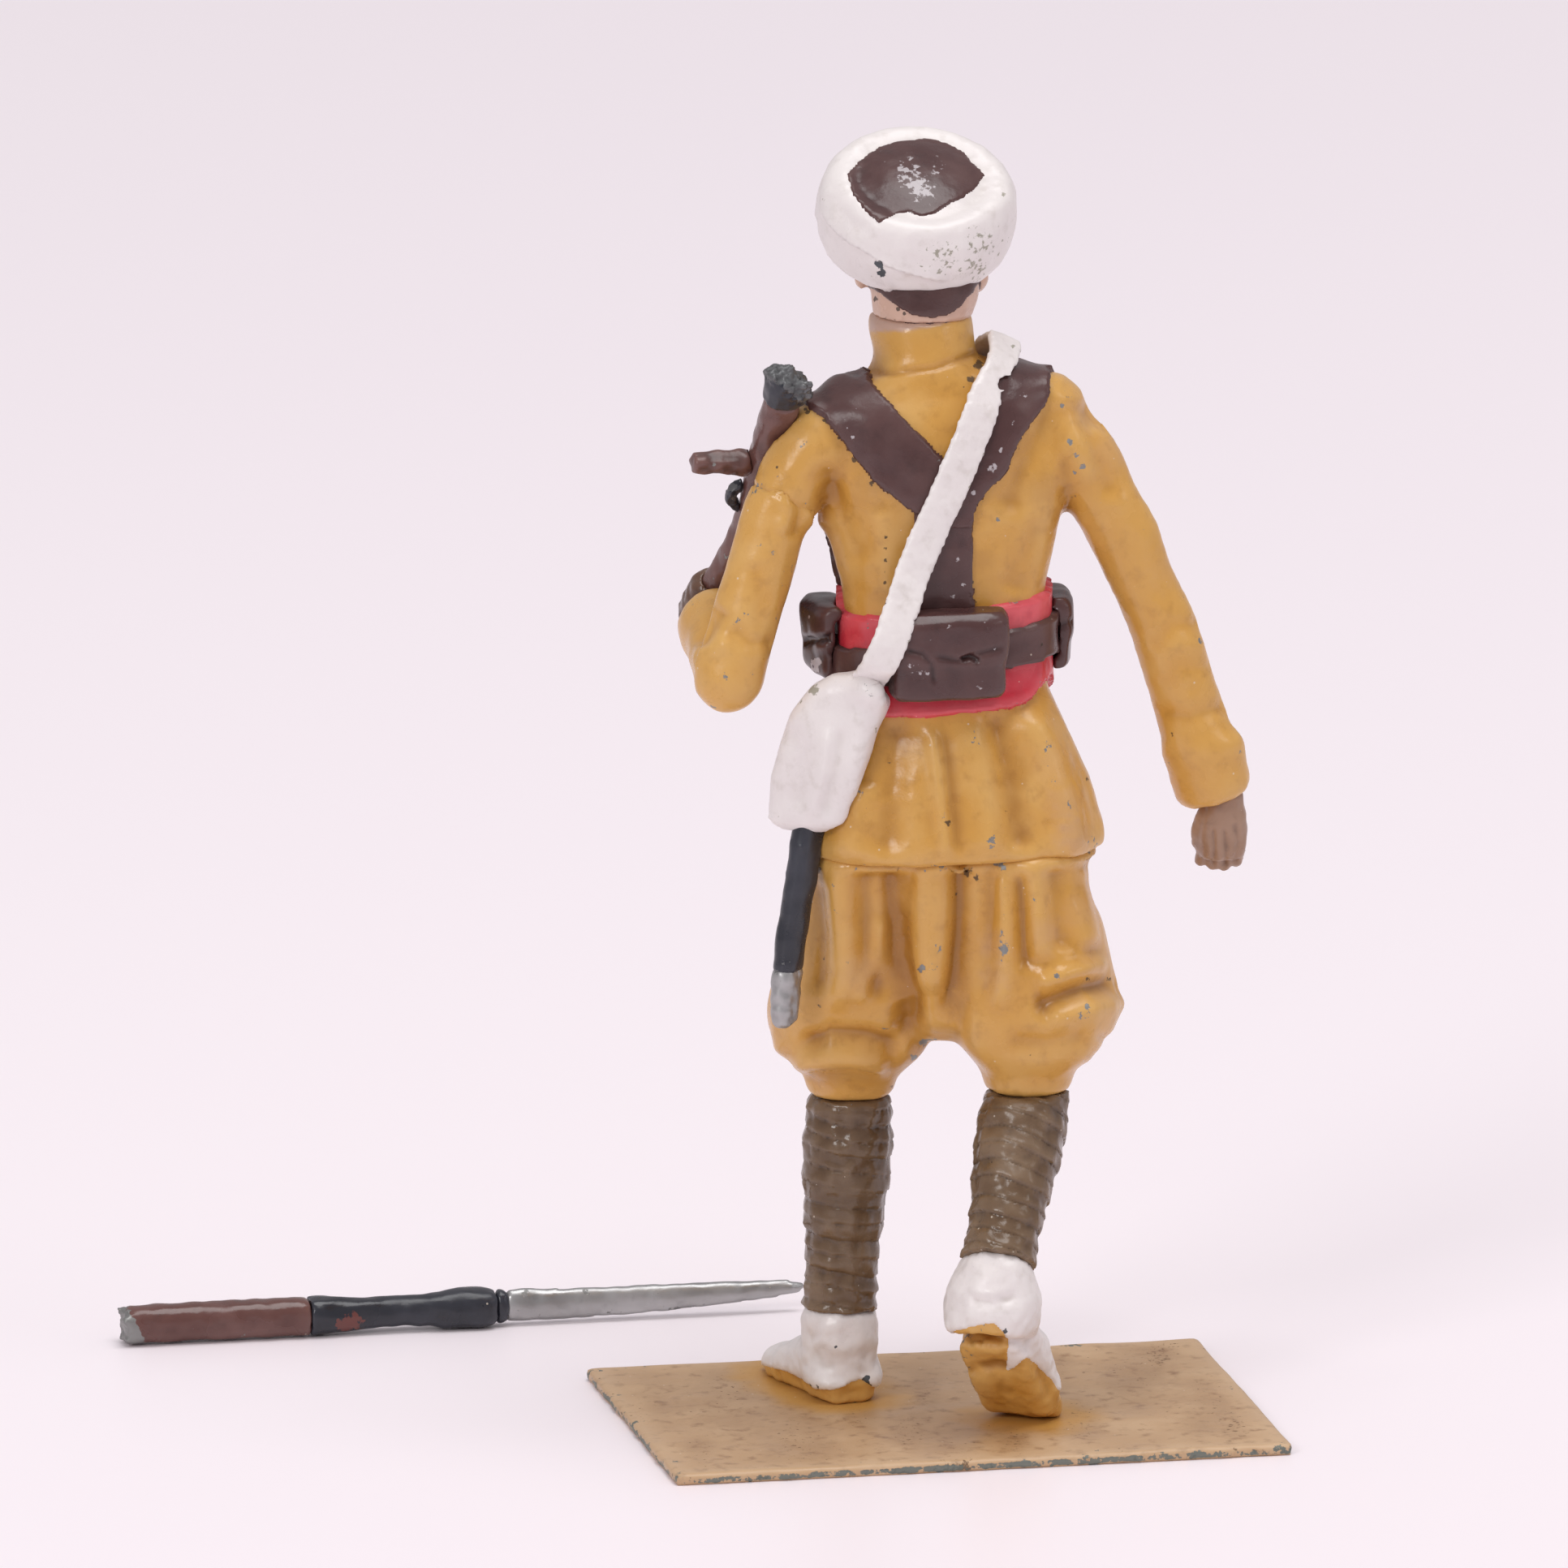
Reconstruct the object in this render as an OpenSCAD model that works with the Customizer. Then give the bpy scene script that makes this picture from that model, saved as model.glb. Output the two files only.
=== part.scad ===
// Toy soldier, cast in white metal and painted, marching with a broken rifle at the slope.
// Millimetres. The figure faces -Y and its left side is +X. The underside of the plate is at z = 0.
// Heights named _h are measured from the top of the plate, which carries the whole figure.

/* [Base plate] */
// Width of the plate, across the figure
base_w = 27; // [22:0.5:34]
// Depth of the plate, from front to back
base_d = 19.5; // [18:0.5:26]
// Thickness of the plate
base_t = 0.5; // [0.3:0.1:1.2]
// Radius of the plate's corners
base_r = 0.3; // [0.1:0.1:1.5]

/* [Stance] */
// Left heel to the middle of the plate, sideways
left_foot_x = 3.5; // [2.8:0.1:4.5]
// Left heel in front of the middle of the plate
left_step = 1.1; // [0.4:0.1:2]
// Ball of the right foot to the middle of the plate, sideways
right_foot_x = 2.9; // [2.2:0.1:3.8]
// Ball of the right foot behind the middle of the plate
right_step = 3.2; // [2.4:0.1:4]
// Height of the lifted right heel
heel_lift = 4.1; // [3.2:0.1:4.8]

/* [Shoes and gaiters] */
// Length of a shoe
shoe_l = 7.8; // [6.8:0.1:8.8]
// Width of a shoe
shoe_w = 3.3; // [2.8:0.1:3.8]
// Height of a shoe at the instep
shoe_h = 2.5; // [2.1:0.1:3]
// Thickness of a gaiter over the shoe
gaiter_t = 0.2; // [0.1:0.05:0.35]
// Height of the left ankle above its heel
ankle_h = 3.9; // [3.5:0.1:4.3]
// Height of the right ankle above its lifted heel
lifted_ankle_h = 3.4; // [3:0.1:3.8]
// Lower edge of a gaiter above the sole
gaiter_edge = 0.8; // [0.5:0.1:1.2]

/* [Puttees] */
// Thickness of the leg at the calf
calf_d = 3.75; // [3.2:0.05:4.3]
// Thickness of the leg above the ankle
ankle_d = 2.9; // [2.5:0.05:3.3]
// Number of wraps on a leg
wraps = 8; // [5:1:11]
// Step from one wrap to the next
wrap_t = 0.14; // [0.06:0.02:0.24]

/* [Breeches] */
// Height of the left knee cuff
cuff_h = 13.3; // [12.5:0.1:14.5]
// Thickness of a knee cuff
cuff_d = 4.1; // [3.9:0.1:4.8]
// Fullest width of one leg
bag_w = 7.5; // [6.6:0.1:8.2]
// Fullest depth of one leg
bag_d = 7.2; // [6.4:0.1:8]
// Length from the left cuff to the tunic's hem
breeches_l = 11.5; // [10.5:0.1:12.5]
// Depth of the folds in the cloth
fold_t = 0.16; // [0:0.02:0.3]

/* [Tunic] */
// Width at the hem
hem_w = 13.3; // [12.4:0.1:14.4]
// Depth at the hem
hem_d = 8.7; // [8:0.1:9.6]
// Length of the skirt, from hem to waist
skirt_l = 7; // [6:0.1:8]
// Width at the waist
waist_w = 8.7; // [8:0.1:9.6]
// Depth at the waist
waist_d = 5.4; // [4.8:0.1:6.2]
// Width at the chest
chest_w = 11.2; // [10.4:0.1:12]
// Depth at the chest
chest_d = 6.2; // [5.6:0.1:7]
// Length of the back, from waist to collar
back_l = 14.2; // [13.2:0.1:15.2]
// Width across the shoulders, without the sleeves
shoulder_w = 11.5; // [10.8:0.1:12.2]
// Width of the collar
collar_w = 4.7; // [4.4:0.1:5.4]
// Height of the collar
collar_l = 1.9; // [1.4:0.1:2.4]

/* [Arms] */
// Length of the right upper arm
upper_arm_l = 9.4; // [8.6:0.1:10.4]
// Length of the right forearm, elbow to cuff edge
forearm_l = 8.2; // [7.4:0.1:9]
// How far the left elbow stands out from the shoulder
elbow_out = 4.1; // [3.6:0.1:4.6]
// Thickness of a sleeve at the shoulder
shoulder_d = 3.5; // [3.1:0.1:3.9]
// Thickness of a sleeve at the upper arm
sleeve_d = 2.7; // [2.4:0.1:3]
// Thickness of a sleeve's cuff
sleeve_cuff_d = 3.35; // [2.9:0.05:3.7]
// Length of the right hand below its cuff
hand_l = 3.8; // [3.2:0.1:4.4]
// Width of a hand across the knuckles
hand_w = 2.2; // [1.9:0.1:2.6]
// Diameter of the pegs that hold the sleeves
peg_d = 1.6; // [1.2:0.1:2]
// Length of the pegs
peg_l = 1.5; // [1:0.1:2]

/* [Head] */
// Width of the head
head_w = 5.6; // [5:0.1:6]
// Depth of the head
head_d = 6.2; // [5.6:0.1:6.8]
// Height from chin to crown
head_l = 6.2; // [5.8:0.1:6.6]
// Thickness of the neck
neck_d = 4.2; // [3.8:0.1:4.3]
// Length of the neck that shows between collar and chin
neck_l = 0.4; // [0.2:0.1:0.8]
// Length of the spigot inside the collar
spigot_l = 2.2; // [1.6:0.1:3]
// Diameter of the spigot
spigot_d = 2.6; // [2:0.1:3]
// Clearance of spigot and pegs in their sockets
socket_gap = 0.05; // [0.02:0.01:0.1]

/* [Turban] */
// Width of the turban
turban_w = 8.75; // [8:0.05:9.6]
// Depth of the turban
turban_d = 8.2; // [7.8:0.1:9]
// Height of the wound roll
turban_l = 4; // [3.7:0.1:4.4]
// How far the turban leans back
turban_tilt = 29; // [18:1:34]
// Width of the cap that shows in the middle
cap_w = 5.8; // [5.2:0.1:6.2]

/* [Belts and straps] */
// Height of the cummerbund
sash_l = 4.9; // [4.3:0.1:5.4]
// Thickness of the cummerbund
sash_t = 0.3; // [0.15:0.05:0.5]
// Height of the waist belt
belt_l = 2.1; // [1.6:0.1:2.6]
// Thickness of the waist belt
belt_t = 0.3; // [0.15:0.05:0.5]
// Width of the shoulder braces
brace_w = 2; // [1.6:0.1:2.4]
// Thickness of the shoulder braces
brace_t = 0.28; // [0.15:0.01:0.4]
// Width of the strap down the back
back_strap_w = 1.7; // [1.3:0.1:2.1]
// Width of the haversack's strap
strap_w = 1.7; // [1.3:0.1:2.1]
// Thickness of the haversack's strap
strap_t = 0.4; // [0.25:0.05:0.6]

/* [Pouches] */
// Width of the rear pouch
rear_pouch_w = 5.3; // [4.5:0.1:6]
// Height of the rear pouch
rear_pouch_l = 3.8; // [3.2:0.1:4.4]
// How far the rear pouch stands off the belt
rear_pouch_t = 1.3; // [0.9:0.1:1.7]
// Width of a side pouch
side_pouch_w = 3.4; // [2.8:0.1:4]
// Height of a side pouch
side_pouch_l = 3.2; // [2.6:0.1:3.6]
// How far a side pouch stands off the belt
side_pouch_t = 1; // [0.7:0.1:1.4]

/* [Haversack] */
// Width of the haversack
sack_w = 4.4; // [3.8:0.1:5]
// Height of the haversack
sack_l = 6.5; // [5.8:0.1:7.2]
// Thickness of the haversack
sack_t = 2.2; // [1.8:0.1:2.6]
// How far its bottom swings out from its top
sack_lean = 2.3; // [1.4:0.1:2.8]

/* [Scabbard] */
// Length of the scabbard
scabbard_l = 9.2; // [8:0.1:10]
// How far its full length reaches above the hem, behind the haversack
scabbard_rise = 2.2; // [1.8:0.1:2.6]
// Width of the scabbard
scabbard_w = 1.35; // [1.1:0.05:1.6]
// Thickness of the scabbard
scabbard_t = 0.9; // [0.7:0.05:1.1]
// Length of the metal tip
chape_l = 2.4; // [1.8:0.1:3]

/* [Rifle on the shoulder] */
// Length from the break to the butt
rifle_l = 16.4; // [15.6:0.1:17.2]
// Depth of the stock at the magazine
stock_w = 1.75; // [1.5:0.05:2]
// Thickness of the stock
stock_t = 1.55; // [1.3:0.05:1.8]
// Depth of the butt at its end
butt_w = 2.7; // [2.3:0.1:3.1]
// Length of the metal band at the break
band_l = 1.7; // [1.2:0.1:2.2]
// How far the magazine stands out
magazine_l = 2.4; // [1.8:0.1:3]
// Width of the magazine along the rifle
magazine_w = 0.95; // [0.7:0.05:1.2]
// How far the trigger guard stands out
guard_l = 0.9; // [0.6:0.1:1.2]

/* [Broken fore-end] */
// Length of the wooden piece
fore_l = 8.4; // [7:0.1:10]
// Thickness of the wooden piece
fore_d = 1.75; // [1.5:0.05:2]
// Length of the metal nose cap
nose_l = 8.2; // [7:0.1:9.5]
// Thickness of the nose cap at its narrowest
nose_d = 1.35; // [1.1:0.05:1.6]
// Length of the bayonet's blade
blade_l = 13; // [11:0.1:15]
// Height of the blade at its root
blade_w = 1.2; // [1:0.05:1.4]
// Thickness of the blade
blade_t = 0.55; // [0.4:0.05:0.8]
// Distance of the broken piece in front of the plate
loose_gap = 9.2; // [6:0.2:14]
// Distance of the bayonet's tip left of the plate's middle
loose_x = 1.9; // [0:0.1:6]

/* [Hidden] */

ochre = [0.78, 0.58, 0.26];
leather = [0.33, 0.22, 0.22];
white = [0.9, 0.88, 0.88];
flesh = [0.7, 0.55, 0.5];
wrap_brown = [0.37, 0.31, 0.27];
rifle_brown = [0.35, 0.2, 0.18];
gunmetal = [0.17, 0.18, 0.2];
steel = [0.6, 0.6, 0.6];

// Far beyond the figure, for cuts
far = 80;
up = [0, 0, 1];
across = [1, 0, 0];

// Vectors and curves

function unit(v) = v / norm(v);
function mix(a, b, t) = a * (1 - t) + b * t;
function power(c, e) = sign(c) * pow(abs(c), e);
function spot(s) = [s[0], s[1], s[2]];

// Point between stations i and i + 1 on a smooth curve through all of them
function spline(p, i, t) =
    let (a = p[max(i - 1, 0)], b = p[i], c = p[i + 1], d = p[min(i + 2, len(p) - 1)])
    0.5 * (2 * b + (c - a) * t + (2 * a - 5 * b + 4 * c - d) * t * t + (3 * b - a - 3 * c + d) * t * t * t);
function smooth(p, k) =
    concat([for (i = [0 : len(p) - 2], j = [0 : k - 1]) spline(p, i, j / k)], [p[len(p) - 1]]);

// A station is [x, y, height, half width, half depth, squareness], where squareness 1 is an ellipse

// Level ring of n points, grown by g
function level_ring(s, n, g = 0) = [
    for (j = [0 : n - 1]) let (a = 360 * j / n)
    [s[0] + (s[3] + g) * power(cos(a), s[5]), s[1] + (s[4] + g) * power(sin(a), s[5]), s[2]]
];
// Direction of a path of stations at station i
function heading(st, i) = unit(spot(st[min(i + 1, len(st) - 1)]) - spot(st[max(i - 1, 0)]));
// Ring square to the direction t, with its width along side
function ring(s, t, side, n) =
    let (v = unit(cross(t, side)), u = cross(v, t))
    [for (j = [0 : n - 1]) let (a = 360 * j / n)
     spot(s) + u * (s[3] * power(cos(a), s[5])) + v * (s[4] * power(sin(a), s[5]))];
function limb(st, side, n) = [for (i = [0 : len(st) - 1]) ring(st[i], heading(st, i), side, n)];
// Stations that close a limb with a dome of length l in direction t
function dome(s, t, l, steps = [35, 62, 82]) = [
    for (a = steps) let (c = spot(s) + t * (l * sin(a)))
    [c[0], c[1], c[2], s[3] * cos(a), s[4] * cos(a), s[5]]
];

// Closed skin over a list of rings that run along their direction
module skin(rings) {
    n = len(rings[0]);
    m = len(rings);
    polyhedron(
        points = [for (r = rings) each r],
        faces = concat(
            [[for (j = [0 : n - 1]) j]],
            [[for (j = [n - 1 : -1 : 0]) (m - 1) * n + j]],
            [for (i = [0 : m - 2], j = [0 : n - 1]) let (k = (j + 1) % n)
             each [[i * n + j, i * n + n + j, i * n + n + k], [i * n + j, i * n + n + k, i * n + k]]]));
}

// One closed casting from everything that is joined and cut inside it, standing on the plate
module casting(stand = base_t) {
    resize([0, 0, 0]) translate([0, 0, stand]) union() children();
}

// Slab of all that lies between two heights
module slab(lo, hi) {
    translate([-far / 2, -far / 2, lo]) cube([far, far, hi - lo]);
}

// Slanted band of width w from p to q, given as [x, height], running from y0 to y1
module slant(p, q, w, y0, y1) {
    d = q - p;
    translate([p[0], 0, p[1]]) rotate([0, atan2(d[0], d[1]), 0])
        translate([-w / 2, y0, 0]) cube([w, y1 - y0, norm(d)]);
}

// Trunk: one loft from hem to collar, parted at the waist

hem_h = cuff_h + breeches_l;
waist_h = hem_h + skirt_l;
collar_h = waist_h + back_l;
collar_top_h = collar_h + collar_l;
trunk_x = -0.2;
neck_x = 0.6;
TRUNK_SIDES = 20;

function trunk_row(x, y, h, w, d, e, g, lift) = [x, y, h + g * lift, w / 2 + g, d / 2 + g, e];
// Share k of the way up the back
function back_at(k) = waist_h + back_l * k;
// Stations from hem to collar, grown outwards by g
function trunk(g) = [
    trunk_row(trunk_x - 0.3, 0.2, hem_h, hem_w - 0.3, hem_d - 0.3, 0.8, g, 0),
    trunk_row(trunk_x - 0.3, 0.2, hem_h + 0.6, hem_w, hem_d, 0.8, g, 0),
    trunk_row(trunk_x - 0.2, 0.2, hem_h + skirt_l * 0.4, hem_w - 1, hem_d - 0.8, 0.82, g, 0),
    trunk_row(trunk_x - 0.1, 0.2, hem_h + skirt_l * 0.75, mix(waist_w, hem_w, 0.35),
              mix(waist_d, hem_d, 0.4), 0.88, g, 0),
    trunk_row(trunk_x, 0.15, waist_h, waist_w + 0.3, waist_d + 0.3, 0.9, g, 0),
    trunk_row(trunk_x, 0.1, back_at(0.17), waist_w, waist_d, 0.9, g, 0),
    trunk_row(trunk_x, 0, back_at(0.32), waist_w + 0.2, waist_d + 0.2, 0.9, g, 0),
    trunk_row(trunk_x, -0.1, back_at(0.47), mix(waist_w, chest_w, 0.5), mix(waist_d, chest_d, 0.7), 0.9,
              g, 0),
    trunk_row(trunk_x, -0.2, back_at(0.64), chest_w, chest_d, 0.88, g, 0),
    trunk_row(trunk_x, -0.2, back_at(0.78), mix(chest_w, shoulder_w, 0.7), chest_d - 0.5, 0.85, g, 0),
    trunk_row(trunk_x, -0.2, back_at(0.87), shoulder_w, chest_d - 1.2, 0.8, g, 0.6),
    trunk_row(trunk_x + 0.1, -0.3, back_at(0.925), shoulder_w - 1.6, chest_d - 1.9, 0.85, g, 1),
    trunk_row(trunk_x + 0.4, -0.5, back_at(0.965), mix(shoulder_w, collar_w, 0.5), chest_d - 1.9, 0.95,
              g, 1),
    trunk_row(neck_x, -0.8, back_at(0.995), collar_w + 0.5, collar_w + 0.1, 1, g, 1),
    trunk_row(neck_x, -0.9, collar_h + collar_l * 0.15, collar_w, collar_w - 0.1, 1, g, 0.4),
    trunk_row(neck_x, -1.2, collar_top_h, collar_w - 0.3, collar_w - 0.4, 1, g, 0)
];
TRUNK = trunk(0);

// Station of the trunk at a height, by straight lines between its rings
function trunk_at(h) =
    let (i = max([0, for (k = [0 : len(TRUNK) - 2]) if (TRUNK[k][2] <= h) k]),
         a = TRUNK[i], b = TRUNK[i + 1])
    mix(a, b, (h - a[2]) / (b[2] - a[2]));
// Point on the trunk's surface at a height and an angle, g outside it
function trunk_edge(h, a, g = 0) =
    let (s = trunk_at(h))
    [s[0] + (s[3] + g) * power(cos(a), s[5]), s[1] + (s[4] + g) * power(sin(a), s[5]), h];
// The same for a place given by x, on the back (dir 1) or the front (dir -1)
function trunk_y(x, h, g, dir) =
    let (s = trunk_at(h), q = min(0.97, abs(x - s[0]) / (s[3] + g)))
    s[1] + dir * (s[4] + g) * pow(1 - pow(q, 2 / s[5]), s[5] / 2);

module trunk_skin(g = 0) {
    skin([for (s = trunk(g)) level_ring(s, TRUNK_SIDES)]);
}

// Shoes: sections along the sole, the same for both feet

// [share of the length, half width share, height share]
SHOE = [
    [0.00, 0.24, 0.35], [0.03, 0.34, 0.52], [0.12, 0.43, 0.8], [0.28, 0.42, 1], [0.45, 0.44, 0.92],
    [0.62, 0.5, 0.72], [0.78, 0.49, 0.55], [0.91, 0.38, 0.42], [0.98, 0.22, 0.3], [1.00, 0.12, 0.2]
];
SHOE_SIDES = 14;
// Share of the shoe's length at which the sole bends
ball = 0.68;

// Place and heading of both feet on the plate
left_heel = [left_foot_x, -left_step, 0];
left_way = unit([0.2, -1, 0]);
right_ball = [-right_foot_x, right_step, 0];
right_way = unit([-0.55, -0.83, 0]);
lift_angle = asin(heel_lift / (shoe_l * ball));
right_heel = right_ball - right_way * (shoe_l * ball * cos(lift_angle)) + up * heel_lift;

// Point and upward direction of each sole at a share of its length
function left_sole(k) = [left_heel + left_way * (shoe_l * k), up];
function right_sole(k) =
    let (bend = max(0, min(1, (k - ball + 0.14) / 0.28)),
         rise = unit(right_way * sin(lift_angle) + up * cos(lift_angle)),
         under = mix(rise, up, bend),
         p = k < ball ? mix(right_heel, right_ball, k / ball)
                      : right_ball + right_way * (shoe_l * (k - ball)))
    [p, unit(under)];

// One ring of a shoe: a half oval over a flat sole, grown by g above a lower edge
function shoe_ring(sole, way, row, g, edge) =
    let (w = shoe_w * row[1] + g, h = shoe_h * row[2] + g, s = unit(cross(sole[1], way)))
    [for (j = [0 : SHOE_SIDES - 1]) let (a = 360 * j / SHOE_SIDES)
     sole[0] + s * (w * power(cos(a), 0.75))
     + sole[1] * max(edge, h * (0.38 + 0.62 * power(sin(a), 0.75)))];

// A grown shoe also reaches behind the heel by its thickness g
module shoe_skin(left, g = 0, edge = 0, reach = 1) {
    skin([for (row = SHOE) if (row[0] <= reach) let (k = row[0] - g / shoe_l)
        shoe_ring(left ? left_sole(k) : right_sole(k), left ? left_way : right_way, row, g, edge)]);
}

// Legs: ankle and knee of each, and the stations between them

left_ankle = left_heel + left_way * (shoe_l * 0.2) + up * ankle_h;
right_ankle = right_heel + right_way * 0.8 + [-0.05, -0.2, lifted_ankle_h];
left_knee = [left_foot_x - 0.25, -left_step - 1.9, cuff_h];
right_knee = [-right_foot_x - 0.75, right_step - 1.8, cuff_h + 0.9];
LEG_SIDES = 13;

function leg_station(a, k, t, d, e) =
    let (c = mix(a, k, t)) [c[0], c[1], c[2], d / 2, d / 2 * 1.05, e];
function shank(a, k) = [
    leg_station(a, k, 0, ankle_d * 1.08, 1),
    leg_station(a, k, 0.16, ankle_d, 1),
    leg_station(a, k, 0.42, mix(ankle_d, calf_d, 0.45), 1),
    leg_station(a, k, 0.72, calf_d, 1),
    leg_station(a, k, 0.97, calf_d * 0.92, 1),
    leg_station(a, k, 1.04, calf_d * 0.84, 1)
];
// Each wrap widens towards its lower edge and starts inside the one below it
function wound(st, turns) =
    let (m = len(st) - 1)
    [for (i = [0 : turns - 1], e = [0, 1])
     let (t = min(m - 0.001, (i + e * 0.97) * m / turns), w = wrap_t * (1 - e),
          s = spline(st, floor(t), t - floor(t)))
     [s[0], s[1], s[2], s[3] + w, s[4] + w, s[5]]];
module puttee_skin(a, k) {
    skin(limb(wound(shank(a, k), wraps), across, LEG_SIDES));
}
// Gaiter above the shoe: a short tube from the instep into the puttee
function tube_station(c, w) = [c[0], c[1], c[2], ankle_d * w, ankle_d * w * 1.08, 1];
module gaiter_tube(a, foot, k, heel) {
    skin(limb([
        tube_station(mix(foot, a, 0.17), heel * 0.92),
        tube_station(mix(foot, a, 0.38), heel),
        tube_station(mix(foot, a, 0.62), heel * 0.96),
        tube_station(mix(foot, a, 0.88), 0.56),
        tube_station(a + unit(k - a) * 0.5, 0.44)
    ], across, LEG_SIDES + 1));
}
module left_gaiter_skin() {
    shoe_skin(true, gaiter_t, gaiter_edge, 0.7);
    gaiter_tube(left_ankle, left_heel + left_way * (shoe_l * 0.21), left_knee, 0.56);
}
module right_gaiter_skin() {
    shoe_skin(false, gaiter_t, gaiter_edge, 0.7);
    gaiter_tube(right_ankle, right_heel + right_way * (shoe_l * 0.1) + across * 0.4, right_knee, 0.72);
}

// Breeches: two full legs gathered into the cuffs, joined low between the knees

BAG_SIDES = 18;
hip_h = hem_h + 1.2;
function bag_station(k, hip, t, w, d) =
    let (c = mix(k, hip, t)) [c[0], c[1], c[2], w / 2, d / 2, 0.95];
// Widths from cuff to hip, out being the side that swells
function bag(k, hip, out) = smooth([
    bag_station(k, hip, 0, cuff_d * 0.92, cuff_d * 0.92),
    bag_station(k, hip, 0.07, cuff_d, cuff_d),
    bag_station(k, hip, 0.16, mix(cuff_d, bag_w, 0.66), mix(cuff_d, bag_d, 0.6)) + out * 0.2,
    bag_station(k, hip, 0.29, bag_w, bag_d) + out * 0.25,
    bag_station(k, hip, 0.5, bag_w * 0.93, bag_d) + out * 0.1,
    bag_station(k, hip, 0.75, bag_w * 0.88, bag_d * 1.03),
    bag_station(k, hip, 1, bag_w * 0.88, bag_d * 1.03)
], 2);
left_hip = [trunk_x + 3, -0.1, hip_h];
right_hip = [trunk_x - 3.3, 0.2, hip_h];
// Level rings with folds that run down the cloth and fade out at the cuff
function folded(s, i, m, turn) =
    let (r = level_ring(s, BAG_SIDES), c = spot(s), fade = sin(180 * i / m))
    [for (j = [0 : BAG_SIDES - 1])
     r[j] + unit(r[j] - c) * (fold_t * fade * cos(5 * 360 * j / BAG_SIDES + turn + 9 * i))];
module bag_skin(k, hip, side, turn) {
    st = bag(k, hip, [side, 0, 0, 0, 0, 0]);
    skin([for (i = [0 : len(st) - 1]) folded(st[i], i, len(st) - 1, turn)]);
}
module breeches_skin() {
    bag_skin(left_knee, left_hip, 0.3, 40);
    bag_skin(right_knee, right_hip, -1, 110);
    crotch = cuff_h + 2.9;
    seat = mix(left_hip, right_hip, 0.5);
    skin([for (s = smooth([
        [-0.2, -0.6, crotch, 0.9, 1.3, 1],
        [-0.2, -0.6, crotch + 0.5, 1.8, 2, 1],
        [-0.2, -0.2, crotch + 2.5, 2.8, 3.4, 1],
        [seat[0], seat[1], hip_h, bag_w * 0.45, bag_d * 0.56, 1]
    ], 2)) level_ring(s, 14)]);
}

// Arms

shoulder_h = back_at(0.765);
left_shoulder = [trunk_x + shoulder_w / 2 - 0.2, 0, shoulder_h];
right_shoulder = [trunk_x - shoulder_w / 2 + 0.2, 0, shoulder_h];
// Directions of the arms: the right one swings out, the left one is bent to carry the rifle
right_elbow = right_shoulder + unit([-0.42, 0.03, -0.9]) * upper_arm_l;
right_wrist = right_elbow + unit([-0.3, -0.03, -0.97]) * forearm_l;
ARM_SIDES = 12;

function arm_station(a, b, t, d) = let (c = mix(a, b, t)) [c[0], c[1], c[2], d / 2, d / 2 * 1.06, 1];
// Upper arm through [share from s to e, thickness] rows, with a round end at each side
module upper_arm(s, e, taper) {
    t = unit(e - s);
    st = smooth([for (row = taper) arm_station(s, e, row[0], row[1])], 2);
    top = dome(st[0], -t, taper[0][1] * 0.45);
    low = dome(st[len(st) - 1], t, sleeve_d / 2);
    skin(limb(concat([for (i = [len(top) - 1 : -1 : 0]) top[i]], st, low), [0, 1, 0], ARM_SIDES));
}
module forearm(e, w) {
    t = unit(w - e);
    first = arm_station(e, w, 0, sleeve_d * 1.03);
    back = dome(first, -t, sleeve_d / 2);
    st = [
        first,
        arm_station(e, w, 0.35, sleeve_d * 1.02),
        arm_station(e, w, 0.65, mix(sleeve_d, sleeve_cuff_d, 0.45)),
        arm_station(e, w, 0.84, sleeve_cuff_d * 0.98),
        arm_station(e, w, 0.95, sleeve_cuff_d * 0.97),
        arm_station(e, w, 1, sleeve_cuff_d * 0.8)
    ];
    side = abs(t[1]) > 0.7 ? across : [0, 1, 0];
    skin(limb(concat([for (i = [len(back) - 1 : -1 : 0]) back[i]], st), side, ARM_SIDES));
}
// Peg at the top of a sleeve, pointing into the trunk, grown by g for its socket
module arm_peg(s, side, g = 0) {
    translate(s + [side * 0.7, 0, -1]) rotate([0, -side * 90, 0])
        cylinder(h = peg_l + 1.2 + g, d = peg_d + 2 * g, $fn = 16);
}

// Rifle: its own frame, with z along the barrel from butt to break and x towards the magazine

break_at = [left_shoulder[0] + 1.5, 1.6, shoulder_h + 3.6];
rifle_way = unit([-0.055, 0.58, 0.813]);
rifle_side = unit(across - rifle_way * (rifle_way * across));
rifle_face = cross(rifle_way, rifle_side);
module on_rifle() {
    multmatrix([
        [rifle_side[0], rifle_face[0], rifle_way[0], break_at[0]],
        [rifle_side[1], rifle_face[1], rifle_way[1], break_at[1]],
        [rifle_side[2], rifle_face[2], rifle_way[2], break_at[2]],
        [0, 0, 0, 1]]) children();
}
// Point of the rifle's axis at a distance below the break
function rifle_at(s) = break_at - rifle_way * s;
// Half sections of the stock from butt to break, by distance from the break
magazine_at = 5.8;
trigger_at = 7.9;
RIFLE_SIDES = 12;
STOCK = smooth([
    [0.55, 0, -rifle_l, butt_w / 2, stock_t * 0.4, 0.6],
    [0.5, 0, -rifle_l + 0.4, butt_w / 2, stock_t * 0.45, 0.65],
    [0.3, 0, -mix(trigger_at, rifle_l, 0.6), butt_w * 0.4, stock_t * 0.46, 0.75],
    [0.08, 0, -mix(trigger_at, rifle_l, 0.25), stock_w * 0.42, stock_t * 0.43, 0.9],
    [0, 0, -trigger_at, stock_w * 0.46, stock_t * 0.48, 0.85],
    [0, 0, -magazine_at, stock_w / 2, stock_t / 2, 0.8],
    [0, 0, -band_l, stock_w * 0.46, stock_t * 0.48, 0.85]
], 2);
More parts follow.
